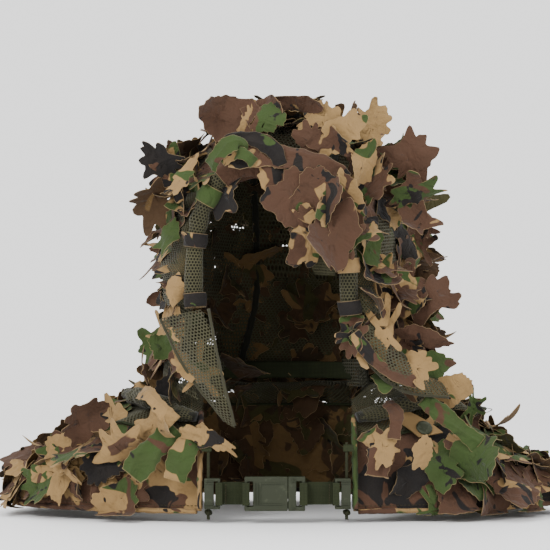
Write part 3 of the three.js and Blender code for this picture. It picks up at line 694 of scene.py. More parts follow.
# What is added to the print's brown, green and black masks.
BIASES = {
    "mixed": (0.0, 0.0, 0.0),
    "dusk": (0.15, -0.07, 0.06),
    "brown": (0.17, -0.05, -0.05),
    "tan": (-0.16, -0.12, -0.06),
    "green": (-0.12, 0.2, -0.05),
    "black": (0.0, 0.0, 0.26),
}


def scatter(
    bag, rng, surface, count, ranges, down, clear, length=(38, 58), lean=(8, 40), yaw=50, lift=2.0, front=0.0,
    curl=(-0.7, 1.5), tones=TONES,
):
    """Leaves sewn over a stretch of surface(u, v) in rows, pointing along down(p) or down with their tips
    out. front turns the printed sides of those near the face towards the front. clear holds points that
    stay uncovered, each with a radius."""
    rows = max(1, round(math.sqrt(count * 0.5)))
    per = math.ceil(count / rows)
    for k in range(rows * per):
        row, col = divmod(k, per)
        u = mix(*ranges[0], (col + rng.uniform(0.1, 0.9)) / per)
        v = mix(*ranges[1], (row + rng.uniform(0.15, 0.85)) / rows)
        u, v = np.array([u]), np.array([v])
        p, n = surface(u, v)[0], normal_of(surface, u, v)[0]
        heading = down(p) if callable(down) else np.asarray(down, float)
        heading = unit(heading - n * (heading @ n))
        turn = rng.normal(0, yaw) * RAD
        heading = heading * math.cos(turn) + np.cross(n, heading) * math.sin(turn)
        tilt = rng.uniform(*lean) * RAD
        along = heading * math.cos(tilt) + n * math.sin(tilt)
        turn_front = rng.uniform(0, front) * float(smooth(-p[1], -20, 70))
        face = unit(n + np.array([0.0, -turn_front, 0.0]))
        size = rng.uniform(*length)
        if all(np.linalg.norm(p + along * size / 2 - c) > r for c, r in clear):
            leaf(bag, rng, p + n * lift, along, face, size, rng.uniform(*curl), tones=tones)


# ---- Panels ----
SEAM_SCALE = (1 - (STRIP / HOOD_WIDTH) ** POWER) ** (1 / POWER)
WALL_LOW, WALL_HIGH = wall_span(SPRING)


def side_panel(side):
    top = SPRING + DOME * SEAM_SCALE * TOP_ROW

    def surface(u, v):
        back = u if side < 0 else 1 - u
        low = neck_height(mix(WALL_LOW, WALL_HIGH, back)) + BOTTOM_LIFT
        z = mix(low, top, spow(v, 0.9))
        a, b = wall_span(z)
        return hood_wall(side, mix(a + 0.045, b - 0.025, back), z)

    return surface


def centre_panel(u, v):
    return centre_strip(mix(-50.5, 50.5, u), mix(NAPE_SHARE, 0.02, v))


def lappet(outer, inner, wide=None):
    """surface(u, v) and share(u, v) between two edges. u is the share of the way across or, with wide
    given, counts its millimetres from the outer edge, so that a net keeps its pitch as the piece narrows."""
    a, b = path_frames(outer, 60)[0], path_frames(inner, 60)[0]

    def edges(v):
        return [sample(c, np.clip(1 - v, 0, 1)) for c in (a, b)]

    def share(u, v):
        p, q = edges(v)
        return np.asarray(u) * wide / np.linalg.norm(q - p, axis=-1) if wide else np.asarray(u)

    def surface(u, v):
        p, q = edges(v)
        across = np.clip(share(u, v), -0.02, 1.02)
        down = np.minimum(1, np.clip(1 - v, 0, 1) * 1.1)
        bulge = 9 * np.sin(math.pi * across) * np.sin(math.pi * down)
        return p + (q - p) * across[..., None] - vec(0, bulge, 0)

    return surface, share


def cape_side(side, top, bottom):
    def surface(u, v):
        down = mix(bottom, top, v)
        a, b = front_edge(side, down), BACK_FROM
        return cape(side, mix(a, b, u if side < 0 else 1 - np.asarray(u)), down)

    return surface


def cape_back(top, bottom):
    def surface(u, v):
        a = mix(BACK_FROM, 2 * math.pi - BACK_FROM, 1 - np.asarray(u))
        return cape(1, a, mix(bottom, top, v))

    return surface


def veil_panel(u, v):
    z, left, right = mix(146, 236, v), mix(45, -2, v), mix(63, 62, v)
    return turned(vec(mix(right, left, u), -106 - 7 * np.sin(math.pi * v * 0.9), z))


def flipped(surface):
    return lambda u, v: surface(1 - np.asarray(u), v)


def declare_sheet(piece, surface, held, *rests_on):
    steps = 81
    v, u = cells(np.linspace(0, 1, steps), np.linspace(0, 1, steps))
    p = MM * np.asarray(surface(u, v), float).reshape(steps, steps, 3)


WRINKLE, SMALL_WRINKLE = noise(11, 90), noise(12, 34)
SIDES = (("right", -1), ("left", 1))


def wrinkled(amount, small=0.6):
    return lambda u, v, p: amount * WRINKLE(p) + small * SMALL_WRINKLE(p)


def cloth_piece(name, surface, nu, nv, size, tint, thickness=0.7, lift=None, seed=0, wrap=False):
    """A camouflage cloth of the given flat size in millimetres, printed in its own coordinates."""
    co, quads, u, v, under = grid(surface, nu, nv, thickness, wrap, lift)
    rng = np.random.default_rng(900 + seed)
    at = rng.uniform(0, 40, 3)
    narrow = size[0] < 60
    fab = vec(u * size[0] * MM + at[0], v * size[1] * MM + at[1], at[2]) if wrap or narrow else co * MM + at
    edge = np.minimum(v, 1 - v) * size[1]
    if not wrap:
        edge = np.minimum(edge, np.minimum(u, 1 - u) * size[0])
    bias, edge = np.tile(BIASES[tint], (len(co), 1)), np.clip(1 - edge / 0.8, 0, 1)
    points = {"fab": fab, "bias": bias, "under": under, "edge": edge}
    return make_mesh(name, co, quads, points=points, material=CAMO)


def net_sheet(name, surface, size, pitch, ripple, body, node, held, *rests_on):
    """A net over a whole panel, placed on its body. ripple is for wrinkled()."""
    piece = net(name, surface, *size, pitch, lift=wrinkled(*ripple))
    place(piece, body, node)
    declare_sheet(piece, surface, held, *rests_on)


# ---- Hood net ----
SEAMS = ("crown_seam_right", "crown_seam_left")
for word, side in SIDES:
    at, node = side_panel(side), f"hood_{word}_panel"
    net_sheet(f"hood_net_{word}", at, (225, 240), 3.8, (2.4,), "nape", node, "draped", *SEAMS)
at, node = centre_panel, "hood_centre_panel"
net_sheet("hood_net_crown", at, (110, 400), 3.8, (2.4,), "nape", node, "draped", *SEAMS)


def tape_piece(name, points, radius, flat, material, body, across=(0, 1, 0), tint="mixed"):
    """A stitched tape or cord of flattened round section along the points."""
    surface, length = tube_surface(points, 1.0, across, 1.0, 160)
    bumps = noise(len(name) * 7 + 3, 12)
    sides, steps = 10, max(8, int(length / 2.5))

    def shaped(u, v):
        centre = surface(np.zeros_like(u), v) * 0.5 + surface(np.full_like(u, 0.5), v) * 0.5
        out = surface(u, v) - centre
        a = unit(surface(np.zeros_like(u), v) - centre)
        along_a = (out * a).sum(-1, keepdims=True) * a
        out = (out - along_a) * radius + along_a * radius * flat
        return centre + out * (1 + 0.25 * bumps(centre + out * 3))[:, None]

    v, u = cells(np.linspace(0, 1, steps + 1), np.arange(sides) / sides)
    p = shaped(u, v)
    i, j = cells(np.arange(sides), np.arange(steps))
    a, b = j * sides + i, j * sides + (i + 1) % sides
    quads = np.stack([a, b, b + sides, a + sides], -1)
    ends = np.concatenate([p[:sides].mean(0, keepdims=True), p[-sides:].mean(0, keepdims=True)])
    first, last = np.arange(sides), steps * sides + np.arange(sides)
    caps = (np.roll(first, -1), first, len(p)), (last, np.roll(last, -1), len(p) + 1)
    tris = np.concatenate([np.stack([a, b, np.full(sides, end)], -1) for a, b, end in caps])
    fab = vec(np.append(u * 2 * math.pi * radius, [0, 0]), np.append(v * length, [0, length]), 0) * MM
    co = np.concatenate([p, ends])
    none, bias = np.zeros(len(co)), np.tile(BIASES[tint], (len(co), 1))
    points = {"fab": fab + len(name), "bias": bias, "under": none, "edge": none}
    return place(make_mesh(name, co, quads, tris, points, material), body)


for word, side in SIDES:
    line = centre_strip(np.full(40, side * SEAM_X), np.linspace(0, NAPE_SHARE, 40), 0.6)
    tape_piece(f"crown_seam_{word}", line, 3.2, 0.5, NET_CORE, "nape")

# ---- Rolled casing round the face ----
CASINGS = (("right", 0.0, 0.395), ("left", 0.605, 1.0))
ROLL_R, roll_bumps = 7.4, noise(31, 40)
for word, start, end in CASINGS:
    line = face_edge(np.linspace(start, end, 30))

    def radius(u, v, line=line):
        around = 2 * math.pi * u
        return ROLL_R + 1.5 * roll_bumps(sample(line, v) + vec(9 * np.cos(around), 9 * np.sin(around), 0))

    surface, length = tube_surface(line, radius, (0, 1, 0), 0.86)
    roll = net(f"face_roll_{word}", surface, 2 * math.pi * ROLL_R, length, 3.1, wrap=True)
    place(roll, "hood", f"face_casing_{word}")
    tape_piece(f"face_roll_core_{word}", line, 5.4, 0.9, NET_CORE, "hood")

# ---- Net that hangs from the casing and bunches outside it ----
for word, side, start, end, out in (("right", -1, 0.02, 0.36, 26), ("left", 1, 0.98, 0.62, 30)):
    line = path_frames(face_edge(np.linspace(start, end, 24)), 60)[0]

    def edge_net(u, v, line=line, side=side, out=out):
        wave = np.sin(v * 9 + side) * 3 + np.sin(v * 23) * 1.6
        bulge = np.sin(math.pi * np.asarray(u)) * (7 + wave)
        return sample(line, v) + vec(side * (3 + u * (out + wave)), 6 + 34 * spow(u, 1.6) - bulge, -4 * u)

    surface = edge_net if side < 0 else flipped(edge_net)
    bunch = net(f"edge_net_{word}", surface, 46, 190, 3.6, lift=wrinkled(1.6, 1.2))
    place(bunch, "hood")

# ---- Lappets ----
# The net's width in millimetres before it is cut, and its outer and inner edge from the top down.
LAPPETS = {
    "right": (
        48,
        [[-112, -76, 104], [-88, -92, 58], [-52, -106, 12]],
        [[-68, -107, 114], [-58, -115, 64], [-44, -113, 8]],
    ),
    "left": (
        38,
        [[84, -100, 98], [106, -92, 70], [132, -78, 52], [156, -62, 42]],
        [[56, -108, 98], [74, -108, 64], [104, -98, 40], [148, -74, 33]],
    ),
}
for word, (wide, outer, inner) in LAPPETS.items():
    surface, share = lappet(outer, inner, wide)
    if word == "right":
        surface = flipped(surface)

    def inside(u, v, share=share, word=word):
        return share(1 - u if word == "right" else u, v) <= 1

    sheet = net(f"lappet_{word}", surface, wide, 118, 3.6, keep=inside, lift=wrinkled(1.8, 1.2))
    place(sheet, "hood", f"{word}_lappet")
    declare_sheet(sheet, lappet(outer, inner)[0], "hung", f"face_roll_{word}")
    for edge, k in (("outer", 0), ("inner", 1)):
        v = np.linspace(0.99, 0.02, 24)
        line = lappet(outer, inner)[0](np.full(24, float(k)), v)
        tape_piece(f"lappet_{word}_{edge}_roll", line, 1.3, 0.8, NET, "hood")

# ---- Brow band ----
brow = face_edge(np.linspace(0.39, 0.615, 40))
brow_bumps = noise(41, 26)


def brow_radius(u, v):
    around = 2 * math.pi * u
    crease = 1.1 * np.sin(5 * around + 9 * v) + 0.8 * np.sin(9 * around - 17 * v)
    return 11.5 + 1.8 * brow_bumps(vec(60 * v, 9 * np.cos(around), 9 * np.sin(around))) + crease * 0.7


surface, length = tube_surface(brow, brow_radius, (0, 1, 0), 0.8)
size = (62, length)
band = cloth_piece("brow_band", surface, 64, 90, size, "brown", thickness=0.8, seed=1, wrap=True)
place(band, "hood", "brow_casing")

# ---- Camouflage tape loops on the casing ----
LOOPS = {
    "right_temple": (0.343, "green", 17),
    "right_cheek": (0.26, "black", 13),
    "right_jaw": (0.04, "black", 13),
    "left_temple": (0.66, "brown", 14),
    "left_cheek": (0.76, "tan", 13),
    "left_jaw": (0.96, "black", 13),
}
for k, (word, (t, tint, width)) in enumerate(LOOPS.items()):
    centre, ahead = face_edge(np.array([t]))[0], face_edge(np.array([t + 0.01]))[0]
    along = unit(ahead - face_edge(np.array([t - 0.01]))[0])
    creases = noise(60 + k, 16)

    def ring(u, v, width=width, creases=creases):
        a = 2 * math.pi * u
        return 9.8 + 0.9 * creases(vec(9 * np.cos(a), 9 * np.sin(a), v * width)) + 0.8 * np.sin(math.pi * v)

    line = [centre - along * width / 2, centre, centre + along * width / 2]
    surface, _ = tube_surface(line, ring, (0, 1, 0), 0.88, 20)
    name, size = f"tape_loop_{word}", (60, width)
    loop = cloth_piece(name, surface, 40, 8, size, tint, thickness=0.9, seed=20 + k, wrap=True)
    place(loop, "hood", f"loop_{word}")

# ---- Veil ----
at, node = veil_panel, "veil_net"
net_sheet("veil_netting", at, (66, 100), 3.4, (1.5,), "veil_root", node, "hung", "brow_band")

# ---- Cape ----
gather = noise(71, 60)


def folds(side, depth):
    def lift(u, v, p):
        angle = np.arctan2(p[:, 0], -(p[:, 1] - CAPE_Y))
        away = np.hypot(p[:, 0], p[:, 1]) - 40 * (np.cos(angle) ** 2)
        swing = angle * 17 + 0.9 * gather(p)
        strength = smooth(away, 90, 190) * (0.6 + 0.4 * np.sin(angle * 5 + side))
        return depth * strength * np.sin(swing) + 1.8 * WRINKLE(p) + 0.7 * SMALL_WRINKLE(p)

    return lift


def cape_cloth(name, surface, size, tint, lift, seed, node, yoke):
    piece = cloth_piece(name, surface, 150, 70, size, tint, lift=lift, seed=seed)
    place(piece, "cape", node)
    declare_sheet(piece, surface, "draped", yoke)


for word, side in SIDES:
    at, node, yoke = cape_side(side, 0.0, YOKE), f"{word}_yoke_net", f"yoke_netting_{word}"
    net_sheet(yoke, at, (250, 112), 3.8, (2.2,), "cape", node, "draped", "neck_tape")
    at, node = cape_side(side, YOKE, HEM_SHARE), f"{word}_shoulder_panel"
    tint, cloth = "mixed" if side < 0 else "dusk", f"shoulder_cloth_{word}"
    cape_cloth(cloth, at, (330, 115), tint, folds(side, 3.2), 2 + side, node, yoke)
    line = []
    for down in np.linspace(0.16, 0.965, 12):
        p = cape(side, front_edge(side, down), down)
        line.append([EDGE_X[side] + side * 1.5, p[1] - 7, p[2]])
    tint = "mixed" if side < 0 else "green"
    name = f"front_edge_tape_{word}"
    binding = tape_piece(name, line, 4.2, 0.6, CAMO, "cape", (1, 0, 0), tint)
    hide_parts(f"{word}_front_binding")
at, yoke = cape_back(0.0, YOKE), "yoke_netting_back"
net_sheet(yoke, at, (230, 102), 3.8, (2.0,), "cape", "back_yoke_net", "draped", "neck_tape")
at = cape_back(YOKE, HEM_SHARE)
cape_cloth("back_cloth", at, (370, 115), "mixed", folds(0, 3.0), 6, "back_panel", yoke)


def cape_line(down, lift, count=90):
    a, b = front_edge(-1, down) + 0.02, front_edge(1, down) + 0.02
    return cape(-1, mix(a, 2 * math.pi - b, np.linspace(0, 1, count)), np.full(count, down), lift)


hem = tape_piece("hem_tape", cape_line(HEM_SHARE, -1), 3.4, 0.7, CAMO, "cape", (0, 0, 1))
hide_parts("hem_binding")
tape_piece("yoke_seam_tape", cape_line(YOKE, 0.6), 2.6, 0.5, WEBBING, "cape", (0, 0, 1))
for word, side in SIDES:
    line = cape(side, np.full(30, BACK_FROM), np.linspace(0.05, 0.95, 30), 0.6)
    tape_piece(f"back_seam_{word}", line, 2.4, 0.5, WEBBING, "cape", (0, 1, 0))


def neck_tape(u, v):
    a = mix(BACK_FROM, 2 * math.pi - BACK_FROM, 1 - np.asarray(u))
    p = cape(1, a, 0.01)
    return vec(p[..., 0], p[..., 1] - 1, mix(44, 60, v))


co, quads, *_ = grid(neck_tape, 90, 6, 1.6)
tape = make_mesh("neck_tape", co, quads, material=WEBBING)
place(tape, "cape", "neck_band")


def collar(side):
    """The net that stands up inside the lower edge of the hood, beside the neck."""

    def surface(u, v):
        a = mix(62 * RAD, 132 * RAD, u if side < 0 else 1 - np.asarray(u))
        p = cape(side, a, 0.0)
        return p + vec(-side * 5 * v * v, 0, mix(-4, 22, v))

    return surface


for word, side in SIDES:
    at, yoke = collar(side), f"yoke_netting_{word}"
    net_sheet(f"collar_net_{word}", at, (110, 26), 3.6, (1.2, 0.8), "cape", (), "draped", yoke)


# ---- Rolled net along the neck of the cape ----
def on_cape(side, stops, lift):
    """A line over the cape through stops of (degrees from the front, share of the way down)."""
    return [cape(side, np.array(a * RAD), np.array(d), lift) for a, d in stops]


ROLLS = {
    "right": on_cape(-1, ((30, 0.28), (40, 0.27), (54, 0.25), (70, 0.22), (86, 0.22)), 9),
    "left": on_cape(1, ((25, 0.25), (36, 0.24), (50, 0.25), (64, 0.28), (80, 0.34)), 9),
}
lumps = noise(81, 30)


def roll_radius(u, v):
    around = 2 * math.pi * u
    r = 10.5 + 3.6 * lumps(vec(150 * v, 11 * np.cos(around), 11 * np.sin(around)))
    return r * (0.35 + 0.65 * np.sin(math.pi * np.clip(v, 0.03, 0.97)) ** 0.5)


for word, line in ROLLS.items():
    surface, length = tube_surface(line, roll_radius, (0, 0, 1), 0.72)
    roll = net(f"neck_roll_{word}", surface, 2 * math.pi * 11, length, 3.5, wrap=True)
    place(roll, "cape")
    tape_piece(f"neck_roll_core_{word}", line, 6.5, 0.7, NET_CORE, "cape", (0, 0, 1))


# ---- Camouflage strips ----
def ribbon(name, points, width, tint, body, seed):
    line, _, length = path_frames(points, 60)
    ahead = unit(np.gradient(line, axis=0))
    wanted = np.array([0, -1, 0.3])
    across = unit(np.cross(ahead, wanted))
    curl = noise(500 + seed, 30)

    def surface(u, v):
        at, side_way = sample(line, v), sample(across, v)
        front = unit(np.cross(side_way, sample(ahead, v)))
        taper = 1 + 0.12 * np.sin(9 * v + seed) - 0.12 * np.abs(np.sin(19 * v + 2 * seed))
        out = ((np.asarray(u) - 0.5) * taper)[..., None] * width
        pleat = 0.09 * width * np.abs(np.sin(1.5 * math.pi * u + 2.4 * v + seed)) ** 0.7
        cup = 0.06 * width * (1 - (2 * np.asarray(u) - 1) ** 2) + 2.0 * curl(at + out * side_way) - pleat
        return at + out * side_way + cup[..., None] * front

    mid = np.array([0.5])
    if (normal_of(surface, mid, mid)[0] @ wanted) < 0:
        surface = flipped(surface)
    size, rows = (width, length), max(16, int(length / 2))
    piece = cloth_piece(name, surface, 20, rows, size, tint, seed=40 + seed)
    place(piece, body)


ARCH = [[-130, -62, 38], [-120, -86, 36], [-108, -98, 22], [-98, -98, 12]]
BROW_STRIP = [[-50, -112, 250], [-22, -116, 250], [8, -118, 244], [34, -116, 234], [52, -110, 222]]
KNOT_TAIL = [[-56, -108, 254], [-44, -116, 263], [-26, -118, 262], [-10, -119, 252], [-4, -118, 238]]
KNOT_END = [[-56, -114, 242], [-44, -122, 250], [-34, -124, 247], [-27, -120, 240]]
KNOT_LOOP = [[-66, -108, 238], [-60, -122, 248], [-50, -127, 257], [-40, -122, 258], [-38, -114, 250]]
STRIPS = (
    ("strip_right_arch", ARCH, 15, "tan", "tab_strip"),
    ("strip_right_flap", [[-96, -92, 6], [-118, -104, -12], [-136, -108, -34]], 26, "green", "cape"),
    ("strip_right_fold", [[-66, -88, 4], [-88, -104, -10], [-98, -112, -38]], 24, "mixed", "cape"),
    ("strip_left_fold", [[72, -92, 4], [84, -108, -8], [80, -116, -34]], 24, "brown", "cape"),
    ("strip_left_hang", [[90, -84, 30], [98, -101, 20], [95, -111, -2]], 13, "brown", "cape"),
    ("strip_left_green", [[122, -82, 32], [144, -92, 16], [172, -92, -8]], 17, "green", "cape"),
    ("strip_left_jaw", [[60, -112, 92], [76, -116, 70], [94, -110, 56], [116, -98, 48]], 12, "mixed", "hood"),
    ("strip_brow", BROW_STRIP, 27, "dusk", "hood"),
    ("strip_knot_tail", KNOT_TAIL, 15, "black", "hood"),
    ("strip_knot_loop", KNOT_LOOP, 15, "green", "hood"),
    ("strip_knot_end", KNOT_END, 12, "green", "hood"),
)
for k, (name, points, width, tint, body) in enumerate(STRIPS):
    ribbon(name, points, width, tint, body, k)


# ---- Garlands ----
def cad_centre(node):
    """The middle of a CAD node's box, in millimetres."""
    low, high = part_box(node)
    return (np.array(low) + np.array(high)) / 2 / MM


DOWN, FORWARD, BACKWARD = (0, 0, -1.0), (0, -1.0, 0.1), (0, 1.0, -0.2)


def outward(p):
    return unit(np.array([p[0], p[1] - CAPE_Y, -abs(p[0]) * 0.4 - 20.0]))


DARK_FLAT = {"lean": (1, 12), "curl": (-1.5, 0.1), "tones": DARK_TONES}
FLAT, BROW = {"lean": (1, 12), "curl": (-1.5, 0.1)}, {"lean": (1, 12), "length": (34, 50)}
CHEEK, BELOW = {"front": 1.0, "lean": (2, 22)}, {"front": 1.0, "lean": (1, 20), "length": (32, 50)}
FAR, FAR_BELOW = {"front": 1.4}, {"front": 1.4, "length": (34, 52)}
ALL, HOOD_LEFT, HOOD_RIGHT = (0, 1), side_panel(1), side_panel(-1)
GARLANDS = (
    # node, body, surface, count, ranges of u and v, heading, settings
    ("crown_front_leaves", "hood", centre_panel, 16, (ALL, (0.74, 0.88)), FORWARD, BROW),
    ("crown_middle_leaves", "hood", centre_panel, 18, (ALL, (0.6, 0.76)), FORWARD, FLAT),
    ("crown_back_leaves", "hood", centre_panel, 20, (ALL, (0.45, 0.64)), BACKWARD, {"lean": (2, 20)}),
    ("hood_back_leaves", "nape", centre_panel, 26, (ALL, (0.28, 0.48)), DOWN, {}),
    ("nape_leaves", "nape", centre_panel, 30, (ALL, (0.01, 0.3)), DOWN, {}),
    ("hood_right_leaves_1", "nape", HOOD_RIGHT, 40, ((0.02, 1), (0.5, 0.9)), DOWN, CHEEK),
    ("hood_right_leaves_2", "nape", HOOD_RIGHT, 46, ((0.02, 1), (0.03, 0.55)), DOWN, BELOW),
    ("hood_left_leaves_1", "nape", HOOD_LEFT, 30, ((0, 0.98), (0.64, 0.94)), DOWN, FAR),
    ("hood_left_leaves_2", "nape", HOOD_LEFT, 30, ((0, 0.98), (0.36, 0.68)), DOWN, FAR),
    ("hood_left_leaves_3", "nape", HOOD_LEFT, 38, ((0, 0.98), (0.02, 0.4)), DOWN, FAR_BELOW),
    ("right_shoulder_leaves_1", "cape", cape_side(-1, 0.1, 0.5), 24, ((0.42, 1), (0, 0.9)), outward, FLAT),
    ("right_shoulder_leaves_2", "cape", cape_side(-1, 0.5, 0.85), 34, ((0.1, 1), ALL), outward, FLAT),
    ("left_shoulder_leaves_1", "cape", cape_side(1, 0.1, 0.5), 24, ((0, 0.58), (0, 0.9)), outward, FLAT),
    ("left_shoulder_leaves_2", "cape", cape_side(1, 0.5, 0.85), 34, ((0, 0.86), ALL), outward, DARK_FLAT),
    ("back_leaves_1", "cape", cape_back(0.06, 0.52), 32, (ALL, ALL), outward, FLAT),
    ("back_leaves_2", "cape", cape_back(0.52, 0.85), 34, (ALL, ALL), outward, FLAT),
)
# Places that stay uncovered, each with a radius: the snaps, the rolls, the net, and the lifted tabs.
SNAPS = [(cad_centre(f"{word}_snap_cap"), 26) for word in ("right", "left")]
BARE = SNAPS + [(np.array(p, float), 24) for line in ROLLS.values() for p in line[:3]]
NET_PATCHES = ((88.0, -72.0, 182.0), (102.0, -60.0, 160.0), (86.0, -86.0, 104.0))
NET_SHOWS = [(np.array(p), 26) for p in NET_PATCHES]
NET_SHOWS += [(np.array([-97.0, -86.0, z]), 21) for z in (204.0, 176.0, 148.0, 120.0)]
TAB_LIFT = {"right": (12, -15, 31), "left": (-3, -11, 18)}
NET_SHOWS += [(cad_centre(f"{word}_snap_cap") + np.array(lift), 36) for word, lift in TAB_LIFT.items()]
# Each garland is an under layer of flat leaves, then the layer that shows.
UNDER = {"lean": (1, 9), "yaw": 80, "lift": 1.2, "curl": (-1.0, 0.3)}
bags = {}
for k, (node, body, surface, count, ranges, heading, settings) in enumerate(GARLANDS):
    bag = bags[node] = Bag()
    rng = np.random.default_rng(100 + k)
    length = (30, 44) if node == "crown_front_leaves" else (46, 66)
    clear, share = (BARE, 0.5) if body == "cape" else (NET_SHOWS, 0.8)
    scatter(bag, rng, surface, int(count * share), ranges, heading, clear, length, **UNDER)
    scatter(bag, rng, surface, count, ranges, heading, clear, **settings)
bags["veil_leaves"] = Bag()

# Leaves that give the front its outline: x, y, z of the root, heading clockwise from straight up as
# seen from the front, tip towards the front, turn about its own axis, length, width, shape, colours.
PLACED = {
    "hood_right_leaves_1": (
        (-98, -58, 228, -35, 0.1, 0, 46, 0.85, "maple", "black"),
        (-96, -62, 222, -118, 0.1, 160, 52, 0.9, "maple", "brown"),
        (-78, -88, 248, 215, 0.3, 10, 46, 0.45, "oak", "tan"),
        (-98, -66, 196, 200, 0.2, 20, 40, 0.6, "torn", "green"),
    ),
    "hood_right_leaves_2": (
        (-94, -80, 146, 195, 0.2, 10, 34, 0.6, "torn", "tan"),
        (-96, -78, 112, 186, 0.2, -20, 34, 0.5, "torn", "mixed"),
        (-98, -84, 80, 160, 0.3, 0, 40, 0.5, "oak", "tan"),
    ),
    "crown_front_leaves": (
        (-62, -92, 258, 14, -0.3, 0, 54, 0.95, "torn", "brown"),
        (-40, -101, 262, 34, -0.2, 10, 44, 0.5, "oak", "tan"),
        (-20, -100, 262, 6, -0.45, 0, 46, 0.95, "torn", "brown"),
        (-32, -106, 272, 62, -0.1, 0, 34, 0.85, "torn", "green"),
        (6, -104, 268, 118, 0.1, 0, 40, 0.8, "oak", "brown"),
        (26, -98, 262, 14, -0.2, 0, 42, 0.85, "oak", "tan"),
        (34, -102, 262, 62, 0.1, 10, 42, 0.8, "torn", "tan"),
        (20, -98, 274, 128, 0.3, 0, 46, 0.7, "torn", "mixed"),
    ),
    "crown_middle_leaves": (
        (-66, -66, 278, 8, 0.1, 30, 30, 0.5, "torn", "brown"),
        (-24, -74, 296, 84, 0.1, 30, 66, 0.34, "strip", "brown"),
        (56, -66, 266, 4, 0.0, 140, 36, 0.6, "oak", "brown"),
        (72, -62, 258, 18, 0.0, 0, 44, 0.85, "oak", "tan"),
    ),
    "hood_left_leaves_1": (
        (80, -88, 262, 205, 0.3, -20, 48, 0.85, "torn", "tan"),
        (86, -72, 240, 74, 0.2, 0, 58, 0.9, "maple", "brown"),
        (92, -76, 206, 62, 0.2, 10, 52, 0.8, "maple", "mixed"),
        (100, -72, 208, 135, 0.2, 0, 50, 0.7, "maple", "brown"),
    ),
    "hood_left_leaves_2": (
        (110, -62, 130, 110, 0.1, 0, 26, 0.9, "torn", "black"),
        (108, -66, 110, 60, 0.2, 0, 54, 0.9, "maple", "brown"),
        (64, -104, 112, 192, 0.2, 10, 44, 0.7, "oak", "mixed"),
        (84, -100, 62, 8, 0.2, 0, 60, 0.7, "stag", "tan"),
    ),
    "hood_left_leaves_3": (
        (104, -82, 66, 98, 0.2, 0, 50, 0.6, "torn", "green"),
        (92, -88, 68, 106, 0.3, 0, 46, 0.7, "oak", "tan"),
        (100, -80, 92, 100, 0.2, 10, 50, 0.6, "torn", "brown"),
    ),
    "veil_leaves": (
        (-20, -116, 246, 152, 0.05, 0, 66, 0.6, "torn", "mixed"),
        (2, -121, 240, 162, 0.0, 0, 66, 0.9, "torn", "brown"),
        (28, -122, 240, 174, 0.0, 5, 60, 0.95, "torn", "dusk"),
        (48, -119, 236, 182, 0.0, 0, 62, 0.85, "torn", "mixed"),
        (12, -124, 206, 158, 0.0, -5, 60, 0.8, "torn", "mixed"),
        (34, -125, 208, 170, 0.0, 0, 66, 0.95, "torn", "brown"),
        (52, -123, 198, 182, 0.0, 4, 56, 0.6, "oak", "brown"),
    ),
    "right_shoulder_leaves_1": (
        (-127, -60, 44, -14, 0.2, 60, 34, 0.35, "torn", "brown"),
        (-156, -50, 26, -118, 0.5, 0, 66, 0.6, "oak", "brown"),
        (-134, -78, 12, 110, 0.6, 0, 48, 0.85, "maple", "tan"),
        (-92, -104, 6, 104, 0.15, 0, 54, 0.42, "oak", "tan"),
    ),
    "right_shoulder_leaves_2": (
        (-168, -84, -22, 62, 0.5, 0, 54, 0.9, "maple", "tan"),
        (-172, -74, -6, 160, 0.4, 0, 46, 0.9, "oak", "black"),
    ),
    "left_shoulder_leaves_1": (
        (128, -66, 30, 66, 0.3, 0, 52, 0.6, "torn", "tan"),
        (166, -52, 4, 8, 0.1, 0, 42, 0.5, "stag", "green"),
        (92, -104, 6, 200, 0.4, 0, 38, 0.8, "oak", "tan"),
    ),
    "left_shoulder_leaves_2": (
        (122, -110, -28, -6, 0.4, 0, 34, 0.7, "torn", "tan"),
        (150, -84, -10, 120, 0.5, 0, 56, 0.9, "torn", "green"),
    ),
}
for k, (node, leaves) in enumerate(PLACED.items()):
    rng = np.random.default_rng(300 + k)
    for x, y, z, heading, forward, roll, length, width, kind, tint in leaves:
        h = heading * RAD
        along = unit(np.array([math.sin(h), -forward, math.cos(h)]))
        r = roll * RAD
        side_way = unit(np.cross(along, np.array([0.0, -1.0, 0.0])))
        face = math.cos(r) * np.cross(side_way, along) + math.sin(r) * side_way
        veiled = node == "veil_leaves"
        curl, wave = (rng.uniform(-0.2, 0.3), 0.4) if veiled else (rng.uniform(-0.5, 0.8), 0.9)
        leaf(bags[node], rng, (x, y, z), along, face, length, curl, kind, tint, width, wave)

NODE_BODY = {node: body for node, body, *_ in GARLANDS} | {"veil_leaves": "veil_root"}
for k, (node, bag) in enumerate(bags.items()):
    place(bag.build(f"{node}_cloth", CAMO), NODE_BODY[node], node)


# ---- Hardware ----
def rounded(node, name, width, material, segments=2):
    """A copy of a CAD node's shape with its sharp edges rounded."""
    source = bpy.data.objects[node]
    mesh = source.data.copy()
    mesh.materials.clear()
    mesh.materials.append(material)
    obj = bpy.data.objects.new(name, mesh)
    bpy.context.scene.collection.objects.link(obj)
    weld = obj.modifiers.new("weld", "WELD")
    weld.merge_threshold = 1e-6
    bevel = obj.modifiers.new("bevel", "BEVEL")
    bevel.width, bevel.segments = width * MM, segments
    bevel.limit_method, bevel.angle_limit = "ANGLE", 30 * RAD
    bevel.use_clamp_overlap = True
    bpy.context.view_layer.update()
    shaped = obj.evaluated_get(bpy.context.evaluated_depsgraph_get())
    done = bpy.data.meshes.new_from_object(shaped)
    obj.modifiers.clear()
    obj.data = done
    body = body_of(source)
    return place(obj, body if isinstance(body, str) else body[0], node)


